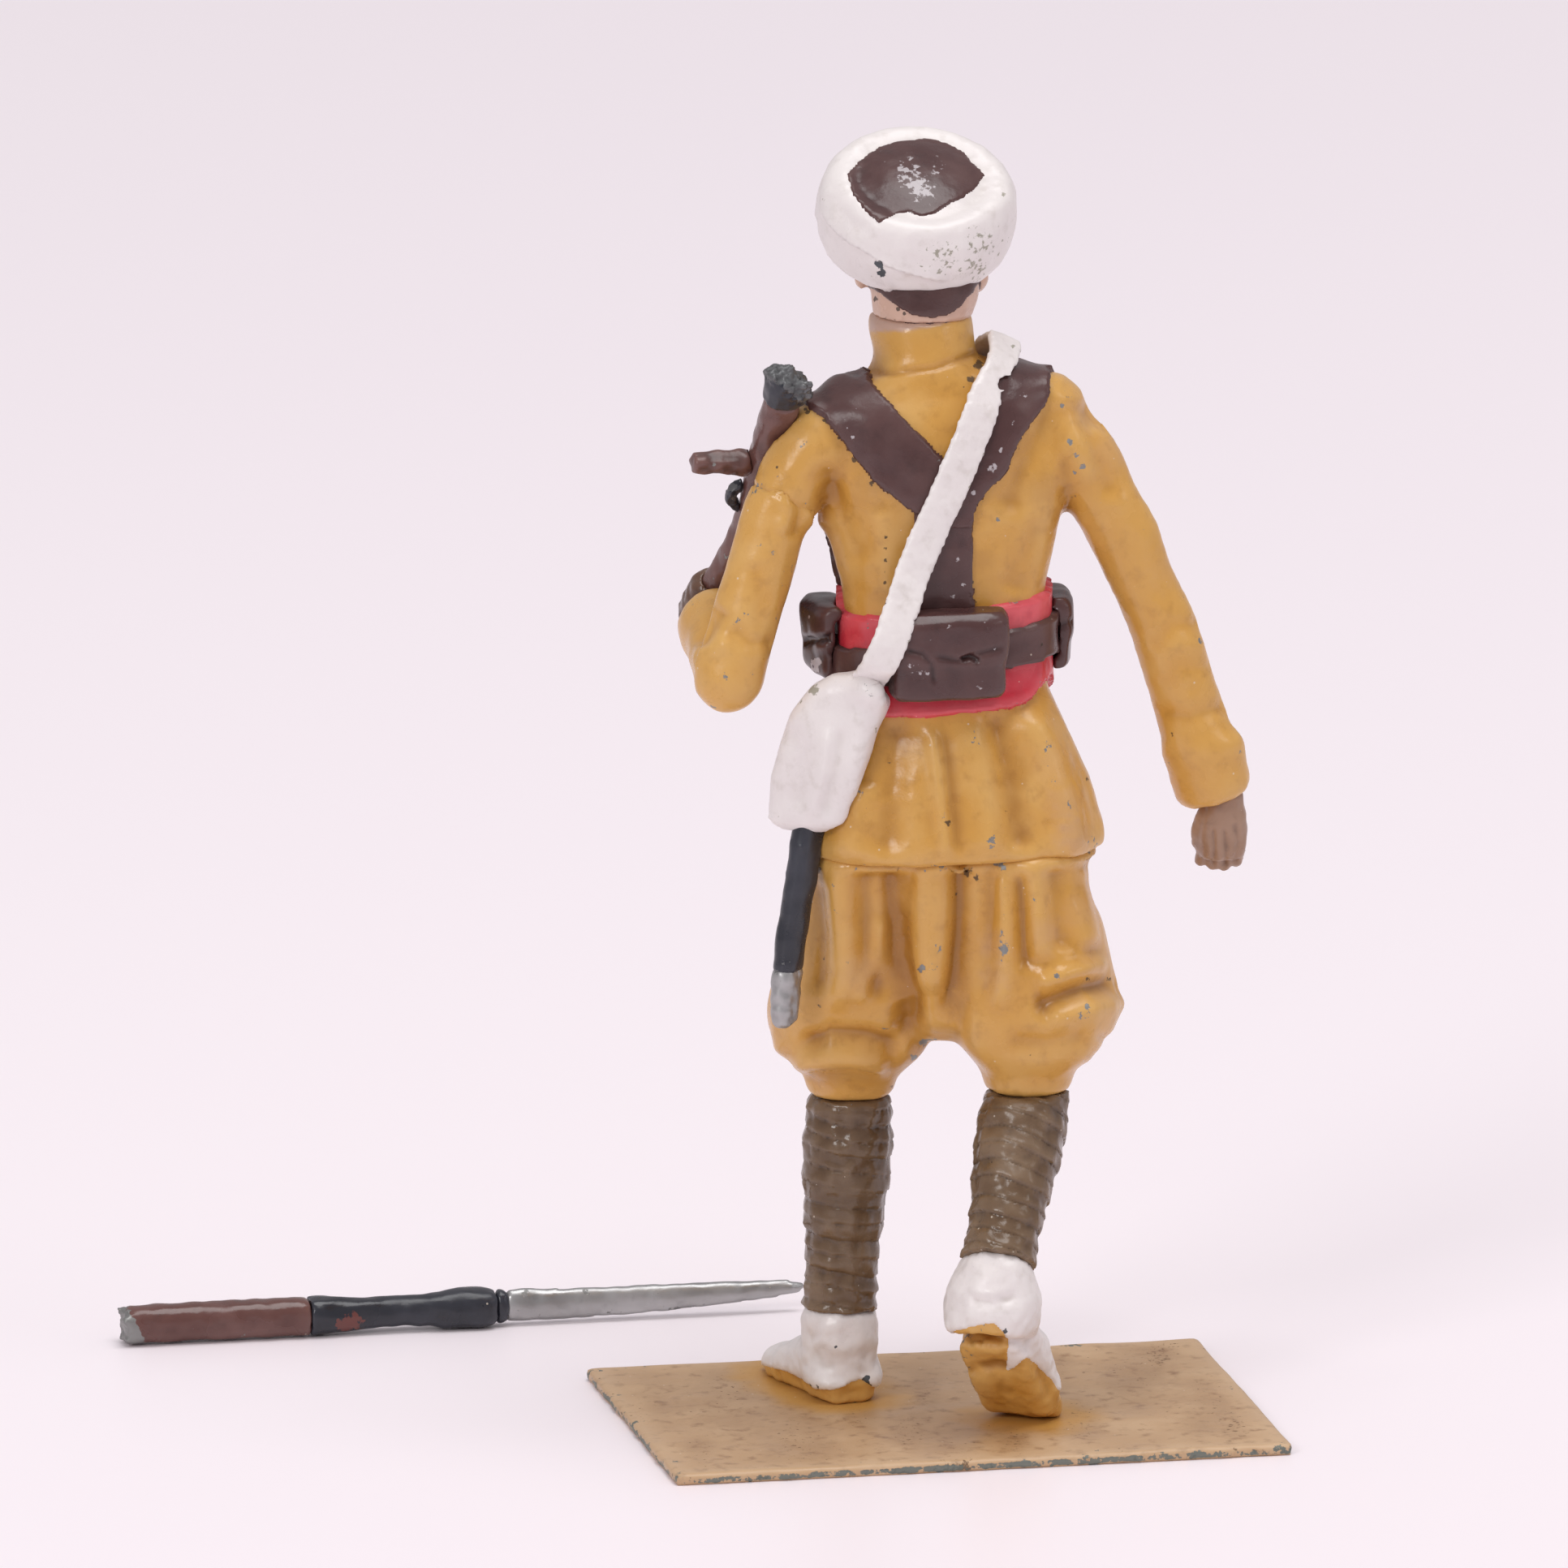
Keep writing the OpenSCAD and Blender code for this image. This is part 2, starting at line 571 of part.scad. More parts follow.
// Station of the stock at a distance below the break, by straight lines between its rings
function stock_at(s) =
    let (i = max([0, for (k = [0 : len(STOCK) - 2]) if (STOCK[k][2] <= -s) k]),
         a = STOCK[i], b = STOCK[i + 1])
    mix(a, b, (-s - a[2]) / (b[2] - a[2]));
module stock_skin() {
    on_rifle() skin([for (s = STOCK) level_ring(s, RIFLE_SIDES)]);
}
// Jagged face of a break: points of a ring moved along the axis by a rough rule
function jagged(r, deep) = [
    for (j = [0 : len(r) - 1]) r[j] + [0, 0, deep * (sin(j * 137) + 0.6 * sin(j * 71))]
];
module band_skin() {
    base = [0, 0, -band_l, stock_w * 0.52, stock_t * 0.54, 0.85];
    on_rifle() skin([
        level_ring(base, RIFLE_SIDES),
        level_ring([0, 0, -band_l * 0.5, stock_w * 0.55, stock_t * 0.57, 0.85], RIFLE_SIDES),
        jagged(level_ring([0, 0, -0.15, stock_w * 0.5, stock_t * 0.52, 0.85], RIFLE_SIDES), 0.12),
        jagged(level_ring([0, 0, 0, stock_w * 0.25, stock_t * 0.26, 1], RIFLE_SIDES), 0.1)
    ]);
}
module magazine_skin() {
    on_rifle() translate([0, 0, -magazine_at]) rotate([0, 90, 0]) skin([for (s = smooth([
        [0, 0, 0, magazine_w * 0.62, stock_t * 0.4, 0.7],
        [0, 0, stock_w * 0.55, magazine_w * 0.55, stock_t * 0.36, 0.7],
        [0, 0, stock_w * 0.5 + magazine_l * 0.6, magazine_w * 0.44, stock_t * 0.33, 0.7],
        [0, 0, stock_w * 0.5 + magazine_l, magazine_w * 0.42, stock_t * 0.3, 0.7]
    ], 1)) level_ring(s, 12)]);
}
module guard_skin() {
    r = guard_l;
    on_rifle() translate([stock_w * 0.3, stock_t * 0.16, -trigger_at]) rotate([90, 0, 0])
        linear_extrude(stock_t * 0.32) difference() {
            circle(r, $fn = 24);
            circle(r * 0.55, $fn = 16);
        }
}

// Left arm follows the rifle: the hand grips the butt and the elbow hangs behind it
grip_at = rifle_l - hand_w * 0.77;
grip = rifle_at(grip_at);
left_wrist = grip + [1, 1.5, -0.5];
left_elbow = [left_shoulder[0] + elbow_out, 1, left_wrist[2] - 1.1];
// The separate left arm starts below and outside the shoulder
left_joint = left_shoulder + [1.75, 0.4, -2.5];

// Head

chin_h = collar_top_h + neck_l;
head_y = -2;
HEAD_SIDES = 16;
function head_at(k) = chin_h + head_l * k;
SKULL = [
    [neck_x, head_y - head_d * 0.24, head_at(-0.02), head_w * 0.16, head_d * 0.16, 1],
    [neck_x, head_y - head_d * 0.15, head_at(0.05), head_w * 0.31, head_d * 0.31, 1],
    [neck_x, head_y - head_d * 0.07, head_at(0.16), head_w * 0.42, head_d * 0.41, 0.95],
    [neck_x, head_y - head_d * 0.03, head_at(0.33), head_w * 0.47, head_d * 0.46, 0.95],
    [neck_x, head_y, head_at(0.52), head_w * 0.5, head_d * 0.49, 0.95],
    [neck_x, head_y, head_at(0.7), head_w * 0.5, head_d * 0.5, 1],
    [neck_x, head_y - head_d * 0.04, head_at(0.84), head_w * 0.35, head_d * 0.33, 1],
    [neck_x, head_y - head_d * 0.06, head_at(0.92), head_w * 0.14, head_d * 0.14, 1]
];
// Front of the face at a share of its height
function face_y(k) =
    head_y - head_d * lookup(k, [[0.05, 0.46], [0.16, 0.48], [0.33, 0.49], [0.52, 0.485], [0.7, 0.5]]);
module oval(c, r, n = 8) {
    translate(c) skin([for (a = [-66 : 44 : 66])
        level_ring([0, 0, r[2] * sin(a), r[0] * cos(a), r[1] * cos(a), 1], n)]);
}
module face() {
    nose = smooth([
        [neck_x, face_y(0.54) + 0.05, head_at(0.55), 0.2, 0.2, 1],
        [neck_x, face_y(0.45) - 0.1, head_at(0.46), 0.28, 0.35, 1],
        [neck_x, face_y(0.36) - 0.22, head_at(0.36), 0.46, 0.5, 1],
        [neck_x, face_y(0.33) - 0.05, head_at(0.31), 0.38, 0.35, 1]
    ], 2);
    skin([for (i = [len(nose) - 1 : -1 : 0]) level_ring(nose[i], 12)]);
    for (side = [-1, 1]) {
        oval([neck_x + side * head_w * 0.19, face_y(0.5) + 0.42, head_at(0.47)], [0.46, 0.3, 0.26]);
        oval([neck_x + side * head_w * 0.2, face_y(0.56) + 0.35, head_at(0.57)], [0.75, 0.36, 0.24]);
    }
    oval([neck_x, face_y(0.22) + 0.28, head_at(0.23)], [0.7, 0.36, 0.16]);
    oval([neck_x, face_y(0.18) + 0.26, head_at(0.18)], [0.6, 0.36, 0.17]);
    oval([neck_x, face_y(0.1) + 0.45, head_at(0.06)], [0.62, 0.5, 0.42]);
}
module ears() {
    for (side = [-1, 1])
        oval([neck_x + side * head_w * 0.44, head_y + 0.4, head_at(0.19)], [0.34, 0.48, 0.5]);
}
NECK = [
    [neck_x, -1.05, collar_top_h - 0.3, neck_d / 2 * 0.96, neck_d / 2 * 0.94, 1],
    [neck_x, -1.15, collar_top_h + 0.5, neck_d / 2, neck_d / 2, 1],
    [neck_x, -1.35, head_at(0.25), neck_d / 2 * 1.04, neck_d / 2, 1],
    [neck_x, -1.6, head_at(0.45), neck_d / 2, neck_d / 2, 1]
];
module neck_skin() {
    skin([for (s = NECK) level_ring(s, HEAD_SIDES)]);
}
module spigot(g = 0) {
    translate([neck_x, -1.05, collar_top_h - spigot_l - g])
        cylinder(h = spigot_l + g, d = spigot_d + 2 * g, $fn = 20);
}
module skull_skin() {
    skin([for (s = SKULL) level_ring(s, HEAD_SIDES)]);
}
module head_skin() {
    skull_skin();
    face();
    neck_skin();
}

// Turban: a thick wound roll around a cap, leaning back

turban_c = [neck_x, head_y + 0.1, head_at(0.63)];
TURBAN_SIDES = 20;
roll_t = (turban_w - cap_w) * 0.72;
module on_head() {
    translate(turban_c) rotate([-turban_tilt, 0, 0]) children();
}
// Half section of the roll as [share of radius, height], from the inside bottom round to the inside top
ROLL = [for (a = [-150 : 30 : 150])
        [1 - roll_t * (1 - cos(a)) / turban_w, turban_l / 2 * power(sin(a), 0.85)]];
module turban_skin() {
    on_head() skin([for (p = ROLL)
        level_ring([0, 0, p[1], turban_w / 2 * p[0], turban_d / 2 * p[0], 1], TURBAN_SIDES)]);
}
module cap_skin() {
    on_head() skin([for (s = [
        [0, 0, turban_l * 0.27, cap_w * 0.5, cap_w * 0.5, 1],
        [0, 0, turban_l * 0.36, cap_w * 0.5, cap_w * 0.5, 1],
        [0, 0, turban_l * 0.47, cap_w * 0.43, cap_w * 0.43, 1],
        [0, 0, turban_l * 0.54, cap_w * 0.27, cap_w * 0.27, 1],
        [0, 0, turban_l * 0.57, cap_w * 0.1, cap_w * 0.1, 1]
    ]) level_ring(s, TURBAN_SIDES)]);
}

// Belts, pouches and straps lie in layers on the trunk

sash_lo = waist_h - 0.4;
sash_hi = sash_lo + sash_l;
belt_lo = sash_lo + (sash_l - belt_l) * 0.55;
belt_mid = belt_lo + belt_l / 2;
module sash_skin() {
    intersection() {
        trunk_skin(sash_t);
        slab(sash_lo, sash_hi);
    }
}
module belt_skin() {
    intersection() {
        trunk_skin(sash_t + belt_t);
        slab(belt_lo, belt_lo + belt_l);
    }
}
module worn() {
    trunk_skin();
    sash_skin();
    belt_skin();
}
// Pouch with a flap, standing on the belt at p and facing along the angle turn
module pouch(p, turn, w, l, t) {
    translate([p[0], p[1], belt_mid - l / 2]) rotate([0, 0, turn]) {
        skin([for (s = smooth([
            [0, 0, 0, w * 0.44, t * 0.7, 0.5],
            [0, 0, l * 0.08, w * 0.48, t * 0.84, 0.45],
            [0, 0, l * 0.5, w * 0.48, t * 0.88, 0.45],
            [0, 0, l * 0.9, w * 0.47, t * 0.8, 0.45]
        ], 1)) level_ring(s, 14)]);
        skin([for (s = smooth([
            [0, 0, l * 0.42, w * 0.49, t * 0.96, 0.45],
            [0, 0, l * 0.5, w * 0.5, t, 0.45],
            [0, 0, l * 0.9, w * 0.5, t * 0.98, 0.45],
            [0, 0, l, w * 0.46, t * 0.7, 0.5]
        ], 1)) level_ring(s, 14)]);
    }
}
rear_pouch_x = trunk_x + 0.55;
rear_pouch_y = trunk_y(rear_pouch_x, belt_mid, sash_t + belt_t, 1);
module rear_pouch_skin() {
    pouch([rear_pouch_x, rear_pouch_y], 0, rear_pouch_w, rear_pouch_l, rear_pouch_t);
}
module left_pouch_skin() {
    pouch(trunk_edge(belt_mid, -16, sash_t + belt_t), -82, side_pouch_w, side_pouch_l, side_pouch_t);
}
module right_pouch_skin() {
    pouch(trunk_edge(belt_mid, 194, sash_t + belt_t), 82, side_pouch_w, side_pouch_l, side_pouch_t);
}

// Braces: from the belt in front, over the shoulders, to a strap down the middle of the back
// Where each brace crosses its shoulder, and how far beside the back strap it ends: left, right
brace_top = [4.9, -3.9];
brace_end = [0.9, -0.65];
join_h = back_at(0.6);
// Middle of the strap down the back
strap_x = trunk_x + 0.3;
module brace_band(side) {
    i = side > 0 ? 0 : 1;
    top = [trunk_x + brace_top[i], collar_h + 0.6];
    slant([strap_x + brace_end[i], join_h], top, brace_w, -0.2, far);
    slant([trunk_x + side * waist_w * 0.36, sash_hi - 0.4], top, brace_w, -far, 0);
}
module brace_skin(side) {
    intersection() {
        trunk_skin(brace_t);
        brace_band(side);
    }
}
module back_strap_skin() {
    intersection() {
        trunk_skin(brace_t);
        translate([strap_x - back_strap_w / 2, 0, sash_hi - 0.4])
            cube([back_strap_w, far, join_h + 0.7 - sash_hi]);
    }
}

// Haversack on the left hip, and its strap over the right shoulder

sack_mid = waist_h - 1.9;
sack_turn = -27;
sack_at = trunk_edge(sack_mid, 33, sack_t * 0.32);
// Stations of the bag in its own frame, x to its left and z up
SACK = [
    [0.5, 0, -0.5, 0.26, 0.22, 0.7],
    [0.46, 0, -0.44, 0.4, 0.42, 0.6],
    [0.25, 0, -0.22, 0.47, 0.5, 0.6],
    [0, 0, 0, 0.5, 0.5, 0.65],
    [-0.25, 0, 0.22, 0.5, 0.46, 0.7],
    [-0.48, 0, 0.42, 0.38, 0.36, 0.75],
    [-0.56, 0, 0.5, 0.2, 0.2, 0.8]
];
module haversack_skin() {
    translate(sack_at) rotate([0, 0, sack_turn]) skin([for (s = SACK)
        level_ring([s[0] * sack_lean, 0, s[2] * sack_l, s[3] * sack_w, s[4] * sack_t, s[5]], 16)]);
}

// Middle of the haversack's mouth, where the strap goes in
sack_mouth = sack_at + [cos(sack_turn), sin(sack_turn), 0] * (-0.55 * sack_lean) + up * (sack_l * 0.4);
strap_top = [trunk_x - 2.75, collar_h + 0.45];
strap_low = [sack_mouth[0], sack_mouth[2]];
strap_front = [trunk_x + waist_w * 0.3, sash_hi - 0.3];
strap_side = unit([strap_top[1] - strap_low[1], 0, strap_low[0] - strap_top[0]]);
// Height of the strap's middle line over the trunk, where it lies on the braces
strap_lift = brace_t + strap_t / 2;
// Where it crosses the rear pouch it runs outside it
pouch_clear = rear_pouch_y + rear_pouch_t + strap_t / 2;
function strap_back(t) =
    let (p = mix(strap_low, strap_top, t), out = max(0, min(1, (0.42 - t) / 0.22)))
    [p[0], mix(trunk_y(p[0], p[1], strap_lift, 1), pouch_clear, out), p[1], strap_w / 2, strap_t / 2, 0.5];
function strap_fore(t) =
    let (p = mix(strap_top, strap_front, t))
    [p[0], trunk_y(p[0], p[1], strap_lift, -1), p[1], strap_w / 2, strap_t / 2, 0.5];
STRAP = smooth(concat(
    [[sack_mouth[0] + 0.2, sack_mouth[1], sack_mouth[2] - 0.5, strap_w * 0.4, strap_t / 2, 0.5]],
    [for (t = [0.1, 0.22, 0.36, 0.5, 0.65, 0.8, 0.9]) strap_back(t)],
    [[strap_top[0], -0.4, strap_top[1] + strap_t * 0.9, strap_w / 2, strap_t / 2, 0.5]],
    [for (t = [0.12, 0.35, 0.7, 1]) strap_fore(t)]), 2);
module strap_skin() {
    skin(limb(STRAP, strap_side, 8));
}

// Scabbard: hangs from under the haversack along the left thigh

scabbard_top = trunk_edge(hem_h + skirt_l * 0.5, 20, scabbard_t * 0.6);
scabbard_mid = trunk_edge(hem_h + 0.8, 20, scabbard_t * 0.55);
scabbard_low = [scabbard_mid[0] + 0.45, scabbard_mid[1] + 0.2, hem_h + scabbard_rise - scabbard_l];
SCABBARD = smooth([
    [scabbard_top[0], scabbard_top[1], scabbard_top[2], scabbard_w / 2, scabbard_t / 2, 0.8],
    [scabbard_mid[0], scabbard_mid[1], scabbard_mid[2], scabbard_w / 2, scabbard_t / 2, 0.8],
    [mix(scabbard_mid, scabbard_low, 0.55)[0] + 0.1, mix(scabbard_mid, scabbard_low, 0.5)[1],
     mix(scabbard_mid, scabbard_low, 0.5)[2], scabbard_w * 0.46, scabbard_t / 2, 0.8],
    [scabbard_low[0], scabbard_low[1], scabbard_low[2] + 0.5, scabbard_w * 0.42, scabbard_t * 0.46, 0.85],
    [scabbard_low[0], scabbard_low[1], scabbard_low[2], scabbard_w * 0.2, scabbard_t * 0.25, 0.9]
], 2);
module scabbard_skin() {
    skin(limb(SCABBARD, unit([0.8, 0.6, 0]), 12));
}

// The broken-off front of the rifle lies on the ground in front of the plate

loose_y = -base_d / 2 - loose_gap - fore_d / 2;
nose_x = loose_x + blade_l + 0.6;
fore_x = nose_x + nose_l;
loose_z = fore_d / 2;
// Sections along x, from the tip towards the break
module along_ground(st, n) {
    skin(limb(st, [0, 1, 0], n));
}

// Pieces

module base_plate() {
    color([0.72, 0.6, 0.44]) linear_extrude(base_t) offset(r = base_r, $fn = 16) square(
        [base_w - 2 * base_r, base_d - 2 * base_r], center = true);
}

module left_shoe() {
    color(ochre) casting() shoe_skin(true);
}
module right_shoe() {
    color(ochre) casting() intersection() {
        shoe_skin(false);
        slab(0, far);
    }
}
module left_gaiter() {
    color(white) casting() difference() {
        left_gaiter_skin();
        shoe_skin(true);
        puttee_skin(left_ankle, left_knee);
    }
}
module right_gaiter() {
    color(white) casting() difference() {
        intersection() {
            right_gaiter_skin();
            slab(0, far);
        }
        shoe_skin(false);
        puttee_skin(right_ankle, right_knee);
    }
}
module left_puttee() {
    color(wrap_brown) casting() intersection() {
        puttee_skin(left_ankle, left_knee);
        slab(0, left_knee[2]);
    }
}
module right_puttee() {
    color(wrap_brown) casting() intersection() {
        puttee_skin(right_ankle, right_knee);
        slab(0, right_knee[2]);
    }
}
module breeches() {
    color(ochre) casting() intersection() {
        breeches_skin();
        slab(0, hem_h);
    }
}
module tunic_skirt() {
    color(ochre) casting() intersection() {
        trunk_skin();
        slab(hem_h - 1, waist_h);
    }
}
// Short stump that the separate left arm is joined to, with a peg of the arm in it
stump_way = unit(left_joint - left_shoulder);
module left_stump() {
    st = [for (row = [[-0.25, shoulder_d * 0.9], [0.1, shoulder_d], [0.6, mix(sleeve_d, shoulder_d, 0.5)],
                      [1.15, sleeve_d * 0.9]])
          arm_station(left_shoulder, left_joint, row[0], row[1])];
    top = dome(st[0], -stump_way, shoulder_d * 0.36);
    skin(limb(concat([for (i = [len(top) - 1 : -1 : 0]) top[i]], st), [0, 1, 0], ARM_SIDES));
}
module left_peg(g = 0) {
    st = [for (k = [1, -peg_l * 0.6 - g]) let (c = left_joint + stump_way * k)
          [c[0], c[1], c[2], peg_d / 2 + g, peg_d / 2 + g, 1]];
    skin(limb([st[1], st[0]], [0, 1, 0], 16));
}
module tunic_body() {
    color(ochre) casting() difference() {
        union() {
            intersection() {
                trunk_skin();
                slab(waist_h, far);
            }
            left_stump();
        }
        stock_skin();
        band_skin();
        spigot(socket_gap);
        arm_peg(right_shoulder, -1, socket_gap);
        left_peg(socket_gap);
    }
}
module left_sleeve_skin() {
    upper_arm(left_joint, left_elbow, [[0, sleeve_d], [0.4, sleeve_d], [1, sleeve_d * 1.04]]);
    forearm(left_elbow, left_wrist);
}
module right_sleeve_skin() {
    upper_arm(right_shoulder, right_elbow, [
        [-0.06, shoulder_d * 0.9], [0.03, shoulder_d], [0.2, mix(sleeve_d, shoulder_d, 0.6)],
        [0.45, sleeve_d], [0.75, sleeve_d * 0.98], [1, sleeve_d * 1.02]]);
    forearm(right_elbow, right_wrist);
}
module left_sleeve() {
    color(ochre) casting() union() {
        difference() {
            left_sleeve_skin();
            trunk_skin();
            left_stump();
            stock_skin();
        }
        left_peg();
    }
}
module right_sleeve() {
    color(ochre) casting() union() {
        difference() {
            right_sleeve_skin();
            trunk_skin();
        }
        arm_peg(right_shoulder, -1);
    }
}

// Right hand: palm to the back, four fingers side by side and the thumb towards the body
FINGER_SIDES = 6;
module finger(path, r) {
    st = [for (p = path) [p[0], p[1], p[2], r, r, 1]];
    last = len(st) - 1;
    skin(limb(concat(st, dome(st[last], heading(st, last), r, [40, 75])), across, FINGER_SIDES));
}
module right_hand_skin() {
    t = unit([0.02, -0.06, -1]);
    wrist = right_wrist + across * -0.35;
    side = unit(across - t * (t * across));
    back = cross(side, t) * -1;
    palm = [for (row = [[-0.25, 0.36, 0.36], [0.05, 0.4, 0.38], [0.2, 0.46, 0.39], [0.38, 0.5, 0.38],
                        [0.6, 0.48, 0.34], [0.72, 0.42, 0.26]])
            let (c = wrist + t * (hand_l * row[0]))
            [c[0], c[1], c[2], hand_w * row[1], hand_w * row[2], 0.85]];
    skin(limb(palm, side, 12));
    for (i = [0 : 3]) {
        root = wrist + side * ((i - 1.5) * hand_w * 0.24) + t * (hand_l * 0.45);
        tip = hand_l * (0.42 - 0.05 * abs(i - 1.3));
        finger([root, root + t * (tip * 0.55) + back * 0.25, root + t * tip + back * 0.6], hand_w * 0.135);
    }
    thumb = wrist + side * (hand_w * 0.36) + t * (hand_l * 0.15);
    finger([thumb, thumb + t * (hand_l * 0.22) + side * 0.25 + back * 0.3,
            thumb + t * (hand_l * 0.42) + side * 0.15 + back * 0.55], hand_w * 0.15);
}
// Left hand: a fist round the butt, with four knuckles along the rifle
module left_hand_skin() {
    fist = hand_w * 1.15;
    on_rifle() skin([for (k = [-1 : 0.125 : 1])
        let (r = sqrt(1 - pow(abs(k), 4)) * (1 + 0.1 * cos(k * 720 + 180)))
        level_ring(stock_at(grip_at - fist * k / 2), RIFLE_SIDES, hand_w * (0.14 * r + 0.06))]);
    heel = grip + [0.5, 0.5, -0.2];
    inside = mix(left_wrist, left_elbow, 0.2);
    skin(limb([for (row = [[inside, 0.38], [left_wrist, 0.42], [heel, 0.46], [grip, 0.4]])
        [row[0][0], row[0][1], row[0][2], hand_w * row[1], hand_w * row[1], 1]], across, 12));
}
module left_hand() {
    color(flesh) casting() difference() {
        left_hand_skin();
        left_sleeve_skin();
        stock_skin();
    }
}
module right_hand() {
    color(flesh) casting() difference() {
        right_hand_skin();
        right_sleeve_skin();
    }
}

module head() {
    color(flesh) casting() union() {
        difference() {
            head_skin();
            trunk_skin();
            cap_skin();
        }
        ears();
        spigot();
    }
}
// Hair shows as a band under the turban, lowest in the middle of the nape
hair_t = 0.18;
module hair_skin() {
    intersection() {
        union() {
            skin([for (s = SKULL) level_ring(s, HEAD_SIDES, hair_t)]);
            skin([for (s = NECK) level_ring(s, HEAD_SIDES, hair_t)]);
        }
        translate([neck_x, head_y + head_d * 0.5, head_at(-0.1)]) rotate([-35, 0, 0])
            translate([-far / 2, -head_d * 0.62, 0]) cube([far, far, head_l]);
        translate([-far / 2, head_y + head_d * 0.18, 0]) cube(far);
    }
}
module hair() {
    color([0.25, 0.18, 0.16]) casting() difference() {
        hair_skin();
        skull_skin();
        neck_skin();
        trunk_skin();
        turban_skin();
        on_head() cylinder(h = head_l, d = turban_w, $fn = TURBAN_SIDES);
    }
}
module turban() {
    color(white) casting() difference() {
        turban_skin();
        head_skin();
        ears();
        cap_skin();
    }
}
module turban_cap() {
    color(leather) casting() cap_skin();
}

module cummerbund() {
    color([0.78, 0.16, 0.24]) casting() difference() {
        sash_skin();
        trunk_skin();
    }
}
module waist_belt() {
    color(leather) casting() difference() {
        belt_skin();
        trunk_skin(sash_t);
    }
}
module rear_pouch() {
    color(leather) casting() difference() {
        rear_pouch_skin();
        worn();
    }
}
module left_pouch() {
    color(leather) casting() difference() {
        left_pouch_skin();
        worn();
    }
}
module right_pouch() {
    color(leather) casting() difference() {
        right_pouch_skin();
        worn();
    }
}
module left_brace() {
    color(leather) casting() difference() {
        brace_skin(1);
        trunk_skin();
        sash_skin();
        left_stump();
        stock_skin();
        band_skin();
    }
}
module right_brace() {
    color(leather) casting() difference() {
        brace_skin(-1);
        trunk_skin();
        sash_skin();
        right_sleeve_skin();
        brace_skin(1);
    }
}
module back_strap() {
    color(leather) casting() difference() {
        back_strap_skin();
        trunk_skin();
        sash_skin();
        brace_skin(1);
        brace_skin(-1);
    }
}
module haversack() {
    color(white) casting() difference() {
        haversack_skin();
        worn();
        rear_pouch_skin();
        left_pouch_skin();
    }
}
module haversack_strap() {
    color(white) casting() difference() {
        strap_skin();
        worn();
        brace_skin(1);
        brace_skin(-1);
        back_strap_skin();
        rear_pouch_skin();
        haversack_skin();
    }
}
// The metal tip takes the lower end of the scabbard
chape_h = scabbard_low[2] + chape_l;
module scabbard() {
    color(gunmetal) casting() difference() {
        intersection() {
            scabbard_skin();
            slab(chape_h, far);
        }
        trunk_skin();
        breeches_skin();
        haversack_skin();
    }
}
module scabbard_chape() {
    color(steel) casting() difference() {
        intersection() {
            scabbard_skin();
            slab(0, chape_h);
        }
        breeches_skin();
    }
}

module rifle_stock() {
    color(rifle_brown) casting() stock_skin();
}
module rifle_band() {
    color(gunmetal) casting() band_skin();
}
module rifle_magazine() {
    color(rifle_brown) casting() difference() {
        magazine_skin();
        stock_skin();
    }
}
module trigger_guard() {
    color(gunmetal) casting() difference() {
        guard_skin();
        stock_skin();
    }
}

function ground_station(x, w, l, e, z = loose_z) = [x, loose_y, z, w / 2, l / 2, e];
module fore_end() {
    r = fore_d * 0.94;
    st = [for (k = [0, 0.35, 0.7, 0.97]) ground_station(fore_x + fore_l * k, r, r, 0.75)];
    rings = limb(st, [0, 1, 0], 16);
    rough = [for (j = [0 : 15]) rings[3][j] + across * (0.22 * (sin(j * 137) + 0.7 * sin(j * 71)))];
    tip = [for (k = [0.9, 0.98]) ground_station(fore_x + fore_l * k, r * 0.4, r * 0.4, 1)];
    core = limb(tip, [0, 1, 0], 16)[1];
    color(rifle_brown) casting(0) skin([rings[0], rings[1], rings[2], rough, core]);
}
module nose_cap() {
    color(gunmetal) casting(0) along_ground(smooth([
        ground_station(nose_x, fore_d * 0.8, fore_d * 0.85, 0.8),
        ground_station(nose_x + nose_l * 0.06, fore_d, fore_d, 0.75),
        ground_station(nose_x + nose_l * 0.26, fore_d * 0.98, fore_d * 0.96, 0.75),
        ground_station(nose_x + nose_l * 0.38, nose_d * 1.04, nose_d * 1.04, 0.85),
        ground_station(nose_x + nose_l * 0.62, nose_d, nose_d, 0.85),
        ground_station(nose_x + nose_l * 0.86, fore_d * 0.92, fore_d * 0.9, 0.8),
        ground_station(nose_x + nose_l * 0.95, fore_d, fore_d, 0.8),
        ground_station(fore_x, fore_d * 0.97, fore_d * 0.97, 0.8)
    ], 2), 12);
}
guard_x = nose_x - 0.6;
module bayonet_guard() {
    color(gunmetal) casting(0) along_ground([
        ground_station(guard_x, fore_d * 0.5, fore_d * 0.72, 0.7),
        ground_station(guard_x + 0.2, fore_d * 0.56, fore_d * 0.86, 0.7),
        ground_station(nose_x - 0.15, fore_d * 0.56, fore_d * 0.86, 0.7),
        ground_station(nose_x, fore_d * 0.5, fore_d * 0.72, 0.7)
    ], 14);
}
module bayonet_blade() {
    l = guard_x - loose_x;
    color(steel) casting(0) along_ground(smooth([
        ground_station(loose_x, blade_t * 0.3, blade_w * 0.16, 1, loose_z + 0.22),
        ground_station(loose_x + l * 0.04, blade_t * 0.6, blade_w * 0.34, 1, loose_z + 0.2),
        ground_station(loose_x + l * 0.25, blade_t * 0.9, blade_w * 0.66, 1, loose_z + 0.1),
        ground_station(loose_x + l * 0.6, blade_t, blade_w * 0.9, 1, loose_z),
        ground_station(guard_x, blade_t, blade_w, 1, loose_z)
    ], 2), 12);
}

